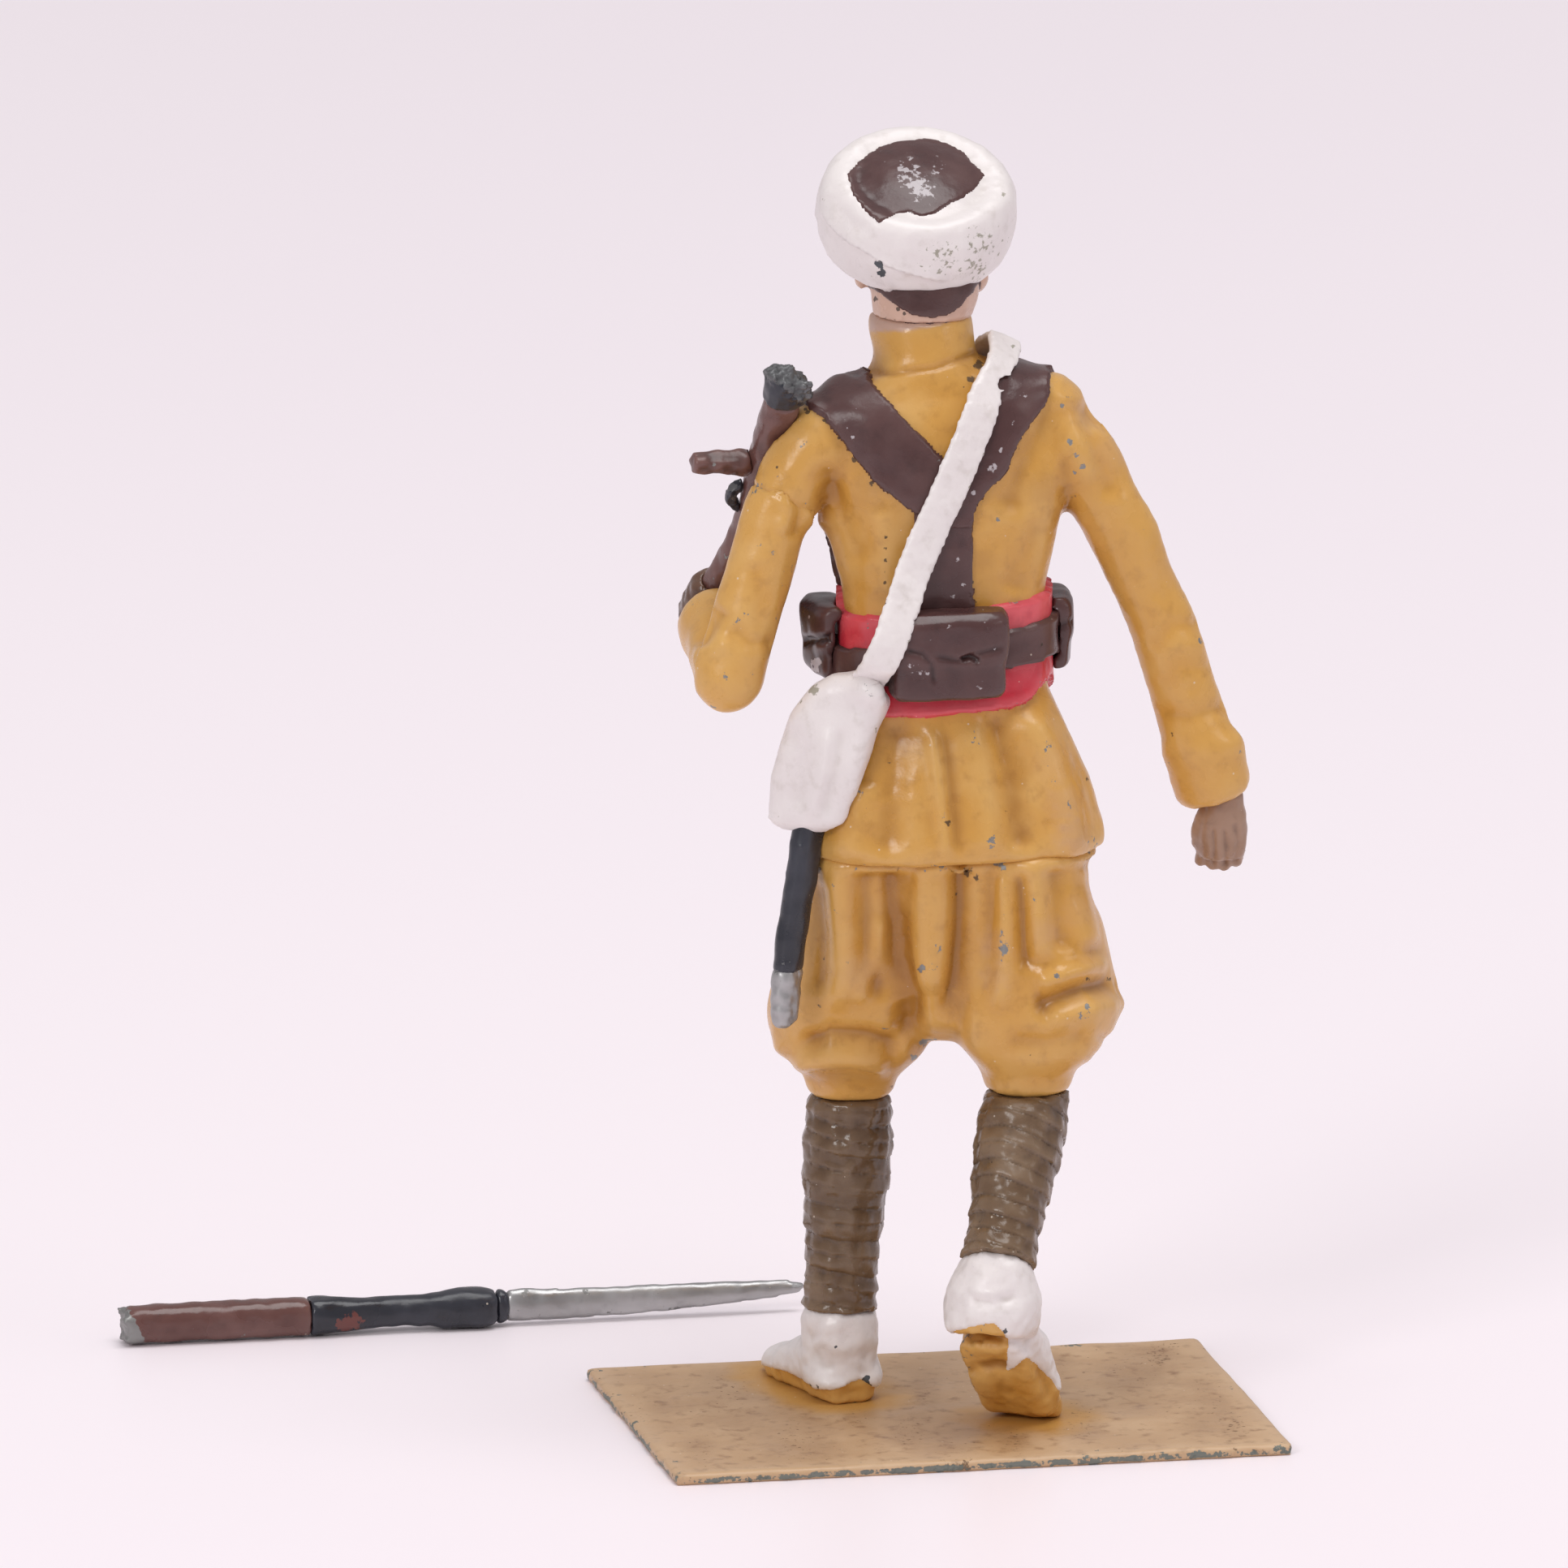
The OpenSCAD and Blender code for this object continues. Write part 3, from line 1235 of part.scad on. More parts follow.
base_plate();
left_shoe();
right_shoe();
left_gaiter();
right_gaiter();
left_puttee();
right_puttee();
breeches();
tunic_skirt();
tunic_body();
left_sleeve();
right_sleeve();
left_hand();
right_hand();
head();
hair();
turban();
turban_cap();
cummerbund();
waist_belt();
rear_pouch();
left_pouch();
right_pouch();
left_brace();
right_brace();
back_strap();
haversack();
haversack_strap();
scabbard();
scabbard_chape();
rifle_stock();
rifle_band();
rifle_magazine();
trigger_guard();
fore_end();
nose_cap();
bayonet_guard();
bayonet_blade();
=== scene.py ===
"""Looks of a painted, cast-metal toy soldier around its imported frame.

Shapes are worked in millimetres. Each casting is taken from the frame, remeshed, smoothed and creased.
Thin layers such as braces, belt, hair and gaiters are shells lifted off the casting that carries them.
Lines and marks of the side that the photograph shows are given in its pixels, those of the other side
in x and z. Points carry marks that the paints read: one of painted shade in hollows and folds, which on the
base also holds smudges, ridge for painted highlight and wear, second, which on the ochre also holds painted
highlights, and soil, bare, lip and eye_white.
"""

import math

import bpy
import numpy as np
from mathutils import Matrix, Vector, noise
from mathutils.bvhtree import BVHTree


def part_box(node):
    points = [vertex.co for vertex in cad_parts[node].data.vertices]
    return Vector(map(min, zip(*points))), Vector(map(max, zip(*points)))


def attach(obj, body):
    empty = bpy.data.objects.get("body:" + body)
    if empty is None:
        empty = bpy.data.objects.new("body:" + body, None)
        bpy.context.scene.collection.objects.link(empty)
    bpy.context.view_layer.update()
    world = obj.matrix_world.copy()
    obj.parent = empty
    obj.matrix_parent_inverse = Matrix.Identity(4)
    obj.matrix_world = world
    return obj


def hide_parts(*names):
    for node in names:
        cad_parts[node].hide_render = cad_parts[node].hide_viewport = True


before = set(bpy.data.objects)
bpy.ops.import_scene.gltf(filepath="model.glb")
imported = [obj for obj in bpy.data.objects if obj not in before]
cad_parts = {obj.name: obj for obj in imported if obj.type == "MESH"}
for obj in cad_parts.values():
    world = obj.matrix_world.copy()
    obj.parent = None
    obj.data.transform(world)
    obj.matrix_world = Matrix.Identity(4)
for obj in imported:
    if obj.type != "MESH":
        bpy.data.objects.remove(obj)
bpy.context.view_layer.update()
scene = bpy.context.scene
MM = 0.001

# Viewpoint of the photograph: a point of the figure, the pixel it shows at, and the scale there
IMAGE = 1932
AZIMUTH = math.radians(168.122)
ELEVATION = math.radians(13.173)
TARGET = np.array([0.0, 0.0, 28.0])
TARGET_PIXEL = np.array([1156.77, 964.74])
PIXELS_PER_MM = 28.749
DISTANCE = 1800.0
SENSOR = 36.0
BACK = np.array([math.sin(AZIMUTH) * math.cos(ELEVATION), -math.cos(AZIMUTH) * math.cos(ELEVATION),
                 math.sin(ELEVATION)])
RIGHT = np.array([math.cos(AZIMUTH), math.sin(AZIMUTH), 0.0])
UP = np.cross(RIGHT, -BACK)
FRONT = np.array([0.0, -1.0, 0.0])


def photo_flat(points):
    """Where points show in the photograph: pixels right and down."""
    offset = points - TARGET
    scale = PIXELS_PER_MM * DISTANCE / (DISTANCE - offset @ BACK)
    return TARGET_PIXEL + scale[:, None] * np.column_stack([offset @ RIGHT, -offset @ UP])


def front_flat(points):
    """Points seen straight from the front: x and z."""
    return points[:, [0, 2]]


def smoothstep(low, high, value):
    share = np.clip((value - low) / (high - low), 0.0, 1.0)
    return share * share * (3.0 - 2.0 * share)


def rough(points, size, seed=0.0):
    """Smooth noise from -1 to 1 with features of a size in millimetres."""
    return np.array([noise.noise(p) for p in (points / size + seed).tolist()])


def grain(points, size, seed=0.0):
    """Noise of three sizes, for broken metal and worn edges."""
    return (rough(points, size, seed) + 0.5 * rough(points, size / 2, seed + 7.3)
            + 0.25 * rough(points, size / 4, seed + 13.1))


def stroke(line, flat):
    """Distance of flat points to a line, the side they lie on and the share of the line they are nearest."""
    line = np.array(line, float)
    steps = np.diff(line, axis=0)
    lengths = np.hypot(*steps.T)
    ends = np.concatenate([[0.0], np.cumsum(lengths)])
    gap = np.full(len(flat), 1e9)
    side, along = np.zeros(len(flat)), np.zeros(len(flat))
    for corner, step, length, end in zip(line, steps, lengths, ends):
        share = np.clip((flat - corner) @ step / length ** 2, 0.0, 1.0)
        off = flat - corner - share[:, None] * step
        far = np.hypot(*off.T)
        near = far < gap
        gap[near] = far[near]
        side[near] = np.sign(step[0] * off[:, 1] - step[1] * off[:, 0])[near]
        along[near] = (end + share * length)[near] / ends[-1]
    return gap, side, along


def inside(outline, flat):
    """Distance into a closed outline, negative outside it."""
    corners = np.array(outline, float)
    within = np.zeros(len(flat), bool)
    for (x0, y0), (x1, y1) in zip(corners, np.roll(corners, -1, axis=0)):
        spans = (y0 > flat[:, 1]) != (y1 > flat[:, 1])
        if y0 != y1:
            within ^= spans & (flat[:, 0] < (x1 - x0) * (flat[:, 1] - y0) / (y1 - y0) + x0)
    gap = stroke(np.vstack([corners, corners[:1]]), flat)[0]
    return np.where(within, gap, -gap)


def summed(index, rows, count):
    """Sums of the rows that share an index."""
    return np.column_stack([np.bincount(index, column, count) for column in rows.T])


def read(items, key, width, kind):
    """A value of all items of a mesh, in rows."""
    values = np.empty(len(items) * width, kind)
    items.foreach_get(key, values)
    return values.reshape(-1, width)


def cad_mesh(*nodes):
    """Points in millimetres and triangles of CAD nodes."""
    points, triangles, start = [], [], 0
    for node in nodes:
        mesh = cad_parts[node].data
        mesh.calc_loop_triangles()
        points.append(read(mesh.vertices, "co", 3, float) / MM)
        triangles.append(read(mesh.loop_triangles, "vertices", 3, np.int32) + start)
        start += len(mesh.vertices)
    return np.concatenate(points), np.concatenate(triangles)


class Skin:
    """A closed mesh of quads, in millimetres, while it is being shaped."""

    def __init__(self, points, quads):
        self.points = points
        self.quads = quads
        self.marks = {}

    @classmethod
    def over(cls, voxel, *nodes):
        """Even quads over CAD nodes, which become one casting."""
        points, triangles = cad_mesh(*nodes)
        mesh = bpy.data.meshes.new("work")
        mesh.from_pydata(points, [], triangles)
        work = bpy.data.objects.new("work", mesh)
        scene.collection.objects.link(work)
        voxels = work.modifiers.new("voxels", "REMESH")
        voxels.mode = "VOXEL"
        voxels.voxel_size = voxel
        shaped = work.evaluated_get(bpy.context.evaluated_depsgraph_get()).to_mesh()
        quads = read(shaped.loops, "vertex_index", 1, np.int32).reshape(-1, 4).astype(np.int64)
        made = cls(read(shaped.vertices, "co", 3, float), quads)
        bpy.data.objects.remove(work)
        bpy.data.meshes.remove(mesh)
        return made.largest()

    def edges(self):
        """Start and end of every edge, once in each direction."""
        return self.quads.ravel(), np.roll(self.quads, -1, axis=1).ravel()

    def largest(self):
        """The outer skin alone, without closed bubbles inside it."""
        start, end = self.edges()
        label = np.arange(len(self.points))
        while True:
            lowest = label.copy()
            np.minimum.at(lowest, start, label[end])
            lowest = lowest[lowest]
            if np.array_equal(lowest, label):
                break
            label = lowest
        keep = label == np.bincount(label).argmax()
        index = np.cumsum(keep) - 1
        return Skin(self.points[keep], index[self.quads[keep[self.quads[:, 0]]]])

    def around(self, values):
        """Mean of the neighbours' values."""
        start, end = self.edges()
        rows = values.reshape(len(values), -1)
        count = np.bincount(start, minlength=len(rows))[:, None]
        return (summed(start, rows[end], len(rows)) / count).reshape(values.shape)

    def blur(self, values, rounds):
        for _ in range(rounds):
            values = 0.5 * (values + self.around(values))
        return values

    def smooth(self, rounds, swell=-0.52):
        """Smooths facets away and swells back by about what that shrinks."""
        for _ in range(rounds):
            for share in (0.5, swell):
                self.points = self.points + share * (self.around(self.points) - self.points)
        return self

    def divide(self):
        """Splits every quad in four on a smooth surface."""
        count = len(self.points)
        start, end = self.edges()
        _, first, edge = np.unique(np.minimum(start, end) * count + np.maximum(start, end),
                                   return_index=True, return_inverse=True)
        edge = edge.ravel()
        middles = self.points[self.quads].mean(axis=1)
        spread = np.repeat(middles, 4, axis=0)
        degree = np.bincount(start, minlength=count)[:, None]
        beside = summed(edge, spread, len(first))
        edges = (self.points[start[first]] + self.points[end[first]] + beside) / 4
        faces = summed(start, spread, count) / degree
        corners = (faces + self.around(self.points) + (degree - 2) * self.points) / degree
        edge = (edge + count).reshape(-1, 4)
        middle = np.arange(len(self.quads)) + count + len(edges)
        self.points = np.vstack([corners, edges, middles])
        self.quads = np.concatenate([
            np.column_stack([self.quads[:, k], edge[:, k], middle, edge[:, k - 1]]) for k in range(4)])
        return self

    def normals(self):
        a, b, c, d = (self.points[self.quads[:, k]] for k in range(4))
        turn = np.repeat(np.cross(c - a, d - b), 4, axis=0)
        total = summed(self.quads.ravel(), turn, len(self.points))
        return total / np.maximum(np.linalg.norm(total, axis=1, keepdims=True), 1e-12)

    def push(self, height):
        """Moves points out along their normals."""
        self.points = self.points + self.normals() * np.broadcast_to(height, len(self.points))[:, None]
        return self

    def uneven(self, *layers):
        """Pushes points in and out by smooth noise. Each layer is (height, size, seed)."""
        return self.push(sum(height * rough(self.points, size, seed) for height, size, seed in layers))

    def near(self, *nodes, limit):
        """Distance of points to CAD nodes, up to a limit."""
        points, triangles = cad_mesh(*nodes)
        tree = BVHTree.FromPolygons(points.tolist(), triangles.tolist())
        found = [tree.find_nearest(p, limit)[3] for p in self.points.tolist()]
        return np.array([limit if gap is None else gap for gap in found])

    def covered(self, node, reach=0.2, rounds=5):
        """Share of a CAD node lying on the points, 0 to 1, with soft edges."""
        return self.blur((self.near(node, limit=2.0) < reach).astype(float), rounds)

    def facing(self, way):
        return smoothstep(0.02, 0.3, self.normals() @ way)

    def crease(self, lines, flat=photo_flat, way=BACK, unit=1.0 / PIXELS_PER_MM):
        """Presses folds and seams in. Each line is (kind, depth, width, its points), as groove() gives it."""
        place = flat(self.points)
        seen = self.facing(way)
        height = np.zeros(len(self.points))
        for kind, depth, width, line in lines:
            gap, side, along = stroke(line, place)
            gap = gap * unit
            fade = smoothstep(0.0, 0.18, np.minimum(along, 1.0 - along) + 0.02)
            if kind == "lap":
                height += depth * fade * (side > 0) * np.clip(1.0 - gap / width, 0.0, 1.0) ** 1.5
            else:
                height += depth * fade * np.exp(-(gap / width) ** 2) * (-1.0 if kind == "groove" else 1.0)
        return self.push(height * seen)

    def swell(self, bumps):
        """Swells or presses the shape around places of the photograph. Each is (x, y, radius, height)."""
        place = photo_flat(self.points)
        height = np.zeros(len(self.points))
        for x, y, radius, rise in bumps:
            height += rise * np.exp(-((place[:, 0] - x) ** 2 + (place[:, 1] - y) ** 2) / radius ** 2)
        return self.push(height)

    def mark(self, name, values):
        """Adds to a mark that the paint reads."""
        before = self.marks.get(name, np.zeros(len(self.points)))
        self.marks[name] = np.clip(before + values, 0.0, 1.0)
        return self

    def dab(self, name, dabs):
        """Irregular dabs of a mark at places of the photograph. Each is (x, y, radius, strength)."""
        place = photo_flat(self.points)
        wobble = 0.4 * rough(self.points, 0.3, 3.7)
        seen = self.facing(BACK)
        for x, y, radius, strength in dabs:
            gap = np.hypot(place[:, 0] - x, place[:, 1] - y) / radius
            self.mark(name, strength * smoothstep(1.5, 0.3, gap + wobble) * seen)
        return self

    def weather(self, rounds=26, deep=0.09, broad=None):
        """Marks painted shade in hollows and painted highlight on ridges from the shape itself, and in broad
        folds where a depth for them is given.
        """
        level = self.points
        for step in range(rounds if broad is None else rounds * 5):
            level = self.around(level)
            if step == rounds - 1:
                height = ((self.points - level) * self.normals()).sum(axis=1)
                self.mark("ridge", height / deep).mark("hollow", -height / deep)
        if broad is not None:
            height = ((self.points - level) * self.normals()).sum(axis=1)
            for name, way in (("ridge", 1.0), ("hollow", -1.0)):
                self.mark(name, np.maximum(way * height / broad, 0.0))
        return self

    def joined(self, other):
        """This skin and another as one, with the marks that both carry."""
        quads = np.vstack([self.quads, other.quads + len(self.points)])
        made = Skin(np.vstack([self.points, other.points]), quads)
        for name in set(self.marks) | set(other.marks):
            made.marks[name] = np.concatenate([skin.marks.get(name, np.zeros(len(skin.points)))
                                               for skin in (self, other)])
        return made

    @staticmethod
    def rim(faces, count):
        """Start and end of the edges that have a face on one side only."""
        start, end = faces.ravel(), np.roll(faces, -1, axis=1).ravel()
        alone = ~np.isin(start * count + end, end * count + start)
        return start[alone], end[alone]

    def shell(self, share, lift, sink=0.15, lip=0.07, edge=(0.35, 0.75)):
        """Closed shell over the points whose share is high, with an edge that dips under this skin."""
        chosen = (share[self.quads] > edge[0] * 0.5).any(axis=1)
        for _ in range(2):
            starts = self.rim(self.quads[chosen], len(self.points))[0]
            pinched = np.bincount(starts, minlength=len(self.points)) > 1
            chosen |= pinched[self.quads].any(axis=1)
        used, index = np.unique(self.quads[chosen], return_inverse=True)
        faces = index.reshape(-1, 4)
        rise = smoothstep(*edge, share[used])
        normals = self.normals()[used]
        top = self.points[used] + normals * (lift * rise - lip * (1.0 - rise))[:, None]
        bottom = self.points[used] - normals * sink
        count = len(used)
        start, end = self.rim(faces, count)
        sides = np.column_stack([end, start, start + count, end + count])
        return Skin(np.vstack([top, bottom]), np.vstack([faces, faces[:, ::-1] + count, sides]))


# Paints

def srgb(*levels):
    """A colour as shaders take it, from its levels of red, green and blue up to 255."""
    return tuple(c / 255 / 12.92 if c <= 10 else ((c / 255 + 0.055) / 1.055) ** 2.4 for c in levels) + (1.0,)


BARE_METAL = (138, 138, 136)
DIRT = (52, 40, 30)
# Colour of pale specks: dust, and painted glints of light.
DUST_AND_GLINT = (226, 214, 196)


class Paint:
    """A node material, with short calls for the nodes that every paint uses."""

    def __init__(self, name):
        self.material = bpy.data.materials.new(name)
        self.material.use_nodes = True
        self.nodes = self.material.node_tree.nodes
        self.links = self.material.node_tree.links
        self.shader = self.nodes["Principled BSDF"]
        self.place = self.add("ShaderNodeTexCoord").outputs["Object"]

    def add(self, kind, inputs=(), **settings):
        node = self.nodes.new(kind)
        for key, value in settings.items():
            setattr(node, key, value)
        for key, value in dict(inputs).items():
            self.feed(node.inputs[key], value)
        return node

    def feed(self, socket, value):
        if isinstance(value, bpy.types.NodeSocket):
            self.links.new(value, socket)
        else:
            socket.default_value = srgb(*value) if isinstance(value, tuple) else value

    def noise(self, scale, detail=3.0, roughness=0.55):
        return self.add("ShaderNodeTexNoise", {"Vector": self.place, "Scale": scale, "Detail": detail,
                                               "Roughness": roughness}).outputs["Fac"]

    def math(self, operation, first, second):
        return self.add("ShaderNodeMath", {0: first, 1: second}, operation=operation).outputs[0]

    def times(self, first, second):
        return self.math("MULTIPLY", first, second)

    def ramp(self, value, low, high, start=0.0, end=1.0):
        limits = {"Value": value, "From Min": low, "From Max": high, "To Min": start, "To Max": end}
        return self.add("ShaderNodeMapRange", limits, interpolation_type="SMOOTHSTEP").outputs["Result"]

    def blend(self, share, first, second):
        node = self.add("ShaderNodeMix", data_type="RGBA")
        self.feed(node.inputs["Factor"], share)
        self.feed(node.inputs[6], first)
        self.feed(node.inputs[7], second)
        return node.outputs[2]

    def mark(self, name):
        return self.add("ShaderNodeAttribute", attribute_name=name).outputs["Fac"]

    def specks(self, scale, share, radius):
        """Round specks in a share of the cells of a pattern."""
        cells = self.add("ShaderNodeTexVoronoi", {"Vector": self.place, "Scale": scale})
        pick = self.add("ShaderNodeSeparateColor", {"Color": cells.outputs["Color"]}).outputs[0]
        size = self.ramp(pick, 1.0 - share, 1.0, 0.0, radius)
        return self.ramp(self.math("SUBTRACT", size, cells.outputs["Distance"]), 0.0, 0.03)


def enamel(name, slot, paint, pale, deep, second=BARE_METAL, gloss=0.27, wear=0.4, specks_and_glints=0.3, shine=0.0,
           dirt=DIRT, metal=BARE_METAL, mottle=0.35, flaking=False, extras=()):
    """Brushed enamel on metal, and its slot: uneven colour, painted shade in hollows, painted highlight on
    ridges, dirt, pale specks that are partly painted glints, pinholes and chips.
    """
    p = Paint(name)
    blotch = p.noise(330, 4)
    fleck = p.noise(1500, 3)
    brush = p.noise(5200, 2)
    grit = p.times(p.math("SUBTRACT", p.noise(4200, 3, 0.6), 0.5), 1.7)
    hollow, ridge = p.mark("hollow"), p.mark("ridge")
    colour = p.blend(p.ramp(blotch, 0.42, 0.72, 0.0, 0.55), paint, pale)
    colour = p.blend(p.ramp(fleck, 0.5, 0.8, 0.0, mottle), colour, deep)
    # Painted shade: the deep colour in hollows and folds. Painted highlight: the pale colour on ridges, where
    # the paint also wears to metal below.
    colour = p.blend(p.times(hollow, 0.75), colour, deep)
    colour = p.blend(p.times(ridge, 0.4), colour, pale)
    for mark, other in tuple(extras) + (("second", second),):
        share = p.mark(mark)
        if flaking:
            share = p.ramp(p.math("ADD", share, grit), 0.5, 0.66)
        colour = p.blend(share, colour, other)
    pits = p.specks(1500, specks_and_glints * 0.7, 0.11)
    soil = p.ramp(p.math("ADD", p.mark("soil"), grit), 0.5, 0.7)
    dirty = p.math("MAXIMUM", p.times(pits, 0.8), p.times(soil, 0.85))
    colour = p.blend(dirty, colour, dirt)
    # Pale specks: dust, and painted glints of light on the gloss.
    glints = p.specks(1750, specks_and_glints, 0.1)
    colour = p.blend(p.times(glints, 0.55), colour, DUST_AND_GLINT)
    worn = p.times(ridge, p.ramp(p.noise(900, 5, 0.7), 0.52, 0.7, 0.0, wear * 2.0))
    worn = p.math("ADD", worn, p.times(grit, 0.7))
    chip = p.ramp(p.math("ADD", p.mark("bare"), worn), 0.5, 0.62)
    colour = p.blend(chip, colour, metal)
    p.feed(p.shader.inputs["Base Color"], colour)
    p.feed(p.shader.inputs["Metallic"], p.math("MAXIMUM", p.times(chip, 0.6), shine))
    rougher = p.ramp(blotch, 0.3, 0.7, gloss - 0.07, gloss + 0.1)
    for layer, more in ((dirty, 0.3), (chip, 0.15)):
        rougher = p.math("ADD", rougher, p.times(layer, more))
    p.feed(p.shader.inputs["Roughness"], rougher)
    height = p.math("ADD", p.times(brush, 0.25), p.times(fleck, 0.55))
    height = p.math("SUBTRACT", height, p.times(p.math("MAXIMUM", pits, chip), 0.5))
    bump = p.add("ShaderNodeBump", {"Height": height, "Strength": 0.6, "Distance": 5e-5})
    p.feed(p.shader.inputs["Normal"], bump.outputs["Normal"])
    return p.material, slot


# The ochre's second colour is the flesh at the collar and the painted highlights on tunic and breeches.
ochre = enamel("ochre_enamel", "ochre_paint", (203, 150, 69), (216, 173, 104), (148, 96, 34), (190, 156, 138))
white = enamel("white_enamel", "white_paint", (227, 220, 218), (236, 231, 228), (184, 174, 164), gloss=0.32,
    specks_and_glints=0.16, dirt=(146, 142, 124), metal=(92, 96, 100))
leather = enamel("leather_enamel", "leather_paint", (72, 45, 44), (96, 67, 64), (44, 26, 26), (176, 168, 170),
    wear=0.2, flaking=True)
red = enamel("red_enamel", "red_paint", (198, 38, 56), (228, 110, 116), (150, 18, 34), gloss=0.24)
puttee = enamel("puttee_enamel", "puttee_paint", (98, 75, 53), (142, 120, 96), (54, 38, 25), gloss=0.22,
    wear=0.3, specks_and_glints=0.65)
flesh = enamel("flesh_enamel", "flesh_paint", (206, 170, 150), (216, 184, 164), (140, 98, 80), (56, 38, 34),
    wear=0.05, specks_and_glints=0.15, extras=(("lip", (158, 92, 84)), ("eye_white", (222, 214, 206))))
# A darker copy of the hand's flesh paint: painted shade on the left hand under the cuff.
shaded_left_hand = enamel("shaded_left_hand_enamel", "flesh_paint", (92, 66, 52), (126, 96, 78), (50, 34, 28), wear=0.3)
hand_flesh = enamel("hand_enamel", "flesh_paint", (148, 115, 92), (174, 143, 122), (84, 60, 50), wear=0.3)
hair = enamel("hair_enamel", "hair_paint", (76, 50, 48), (96, 68, 64), (42, 26, 24), wear=0.1)
ground = enamel("base_enamel", "tan_base_paint", (188, 152, 112), (206, 176, 142), (136, 98, 64),
    (194, 144, 66), gloss=0.42, specks_and_glints=0.5, dirt=(104, 78, 54), metal=(126, 130, 122), mottle=0.8)
gunmetal = enamel("gunmetal_enamel", "gunmetal_paint", (32, 34, 41), (60, 62, 72), (20, 20, 24),
    (104, 56, 50), wear=0.5, metal=(104, 105, 106), flaking=True)
silver = enamel("silver_paint", "silver_paint", (148, 147, 146), (190, 190, 190), (80, 78, 76), gloss=0.36,
    shine=0.8)
rifle_brown = enamel("rifle_enamel", "rifle_brown_paint", (92, 57, 51), (128, 95, 89), (46, 26, 24))


def piece(skin, paint, *nodes, name=None, body="figure"):
    """Turns a skin into a piece that stands for CAD nodes, named after the first if it has no name."""
    material, slot = paint
    name = name or nodes[0] + "_cast"
    mesh = bpy.data.meshes.new(name)
    mesh.from_pydata(skin.points * MM, [], skin.quads, shade_flat=False)
    for mark, values in skin.marks.items():
        mesh.attributes.new(mark, "FLOAT", "POINT").data.foreach_set("value", values.astype(np.float32))
    mesh.materials.append(material)
    made = bpy.data.objects.new(name, mesh)
    scene.collection.objects.link(made)
    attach(made, body)
    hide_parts(*nodes)


# Folds, seams and marks of the side in the photograph, and folds of the front

def groove(depth, width, *line):
    return "groove", depth, width, line


def ridge(depth, width, *line):
    return "ridge", depth, width, line


def lap(depth, width, *line):
    return "lap", depth, width, line


def spots(radius, strength, *places):
    """Dabs of one size and strength."""
    return [(x, y, radius, strength) for x, y in places]


BREECHES_FOLDS = [
    groove(0.7, 0.55, (1182, 1045), (1185, 1110), (1184, 1160), (1176, 1215), (1163, 1262)),
    groove(0.59, 0.6, (1098, 1050), (1102, 1120), (1108, 1180), (1122, 1235), (1120, 1300)),
    ridge(0.45, 0.75, (1140, 1050), (1142, 1140), (1145, 1230)),
    ridge(0.48, 0.5, (1236, 1060), (1242, 1130), (1240, 1190), (1230, 1250)),
    groove(0.31, 0.4, (1256, 1070), (1260, 1140), (1264, 1200)),
    ridge(0.36, 0.5, (1272, 1060), (1278, 1130), (1285, 1185)),
    groove(0.28, 0.6, (1300, 1060), (1306, 1130), (1312, 1175)),
    ridge(0.28, 0.5, (1326, 1060), (1332, 1120), (1345, 1170)),
    groove(0.42, 0.5, (1270, 1246), (1300, 1232), (1340, 1216), (1384, 1206)),
    ridge(0.36, 0.45, (1275, 1214), (1320, 1198), (1366, 1188)),
    ridge(0.28, 0.5, (1290, 1256), (1330, 1246), (1380, 1238)),
    groove(0.25, 0.5, (1236, 1282), (1290, 1288), (1350, 1278)),
    ridge(0.42, 0.65, (1030, 1060), (1036, 1130), (1040, 1200), (1030, 1250)),
    groove(0.45, 0.6, (1066, 1060), (1070, 1130), (1078, 1200), (1086, 1240)),
    ridge(0.28, 0.45, (1088, 1130), (1078, 1190), (1058, 1240)),
    groove(0.28, 0.5, (1006, 1080), (1012, 1150), (1008, 1230)),
    groove(0.59, 0.5, (975, 1292), (1025, 1277), (1070, 1281), (1118, 1296)),
    ridge(0.34, 0.45, (970, 1318), (1000, 1306), (1050, 1304), (1100, 1316)),
]
BREECHES_SHAPE = [
    (1356, 1084, 40, -0.55), (1385, 1236, 12, 0.28), (1361, 1279, 9, -0.15), (1346, 1311, 9, 0.15),
    (962, 1290, 12, 0.15),
]
BREECHES_FRONT = [
    groove(0.52, 0.7, (-0.3, 25.8), (-0.2, 21.0), (0.0, 17.6)),
    ridge(0.36, 0.7, (-3.6, 25.8), (-3.9, 21.0), (-4.2, 18.0)),
    groove(0.34, 0.6, (-2.2, 25.6), (-2.4, 20.6), (-2.9, 17.4)),
    groove(0.34, 0.55, (-5.4, 25.6), (-5.7, 20.6), (-5.6, 17.6)),
    groove(0.39, 0.5, (-6.4, 16.8), (-4.6, 16.0), (-2.0, 16.8)),
    ridge(0.36, 0.7, (3.0, 25.8), (3.2, 21.0), (3.3, 17.2)),
    groove(0.34, 0.6, (1.7, 25.6), (1.8, 20.4), (2.2, 16.4)),
    groove(0.34, 0.6, (4.6, 25.6), (5.0, 20.6), (4.9, 16.6)),
    groove(0.39, 0.5, (1.2, 15.8), (3.2, 15.0), (5.6, 15.8)),
]
BREECHES_WEAR = (
    spots(6.6, 0.81, (1135, 1194), (1138, 1284), (1152, 1284))
    + [(1340, 1240, 5.5, 0.72), (1164, 1290, 5.5, 0.72), (1126, 1302, 5.5, 0.81), (1354, 1296, 3.3, 0.81),
       (1372, 1150, 3.3, 0.72)]
)
BREECHES_PITS = (
    spots(4, 0.68, (1016, 1180), (1010, 1240), (1098, 1338))
    + [(1340, 1205, 4, 0.85), (1366, 1206, 4, 0.85), (1192, 1074, 7, 0.77), (1007, 1070, 7, 0.77),
       (1204, 1082, 6, 0.77), (1180, 1100, 4, 0.59), (1270, 1300, 3, 0.68)]
)
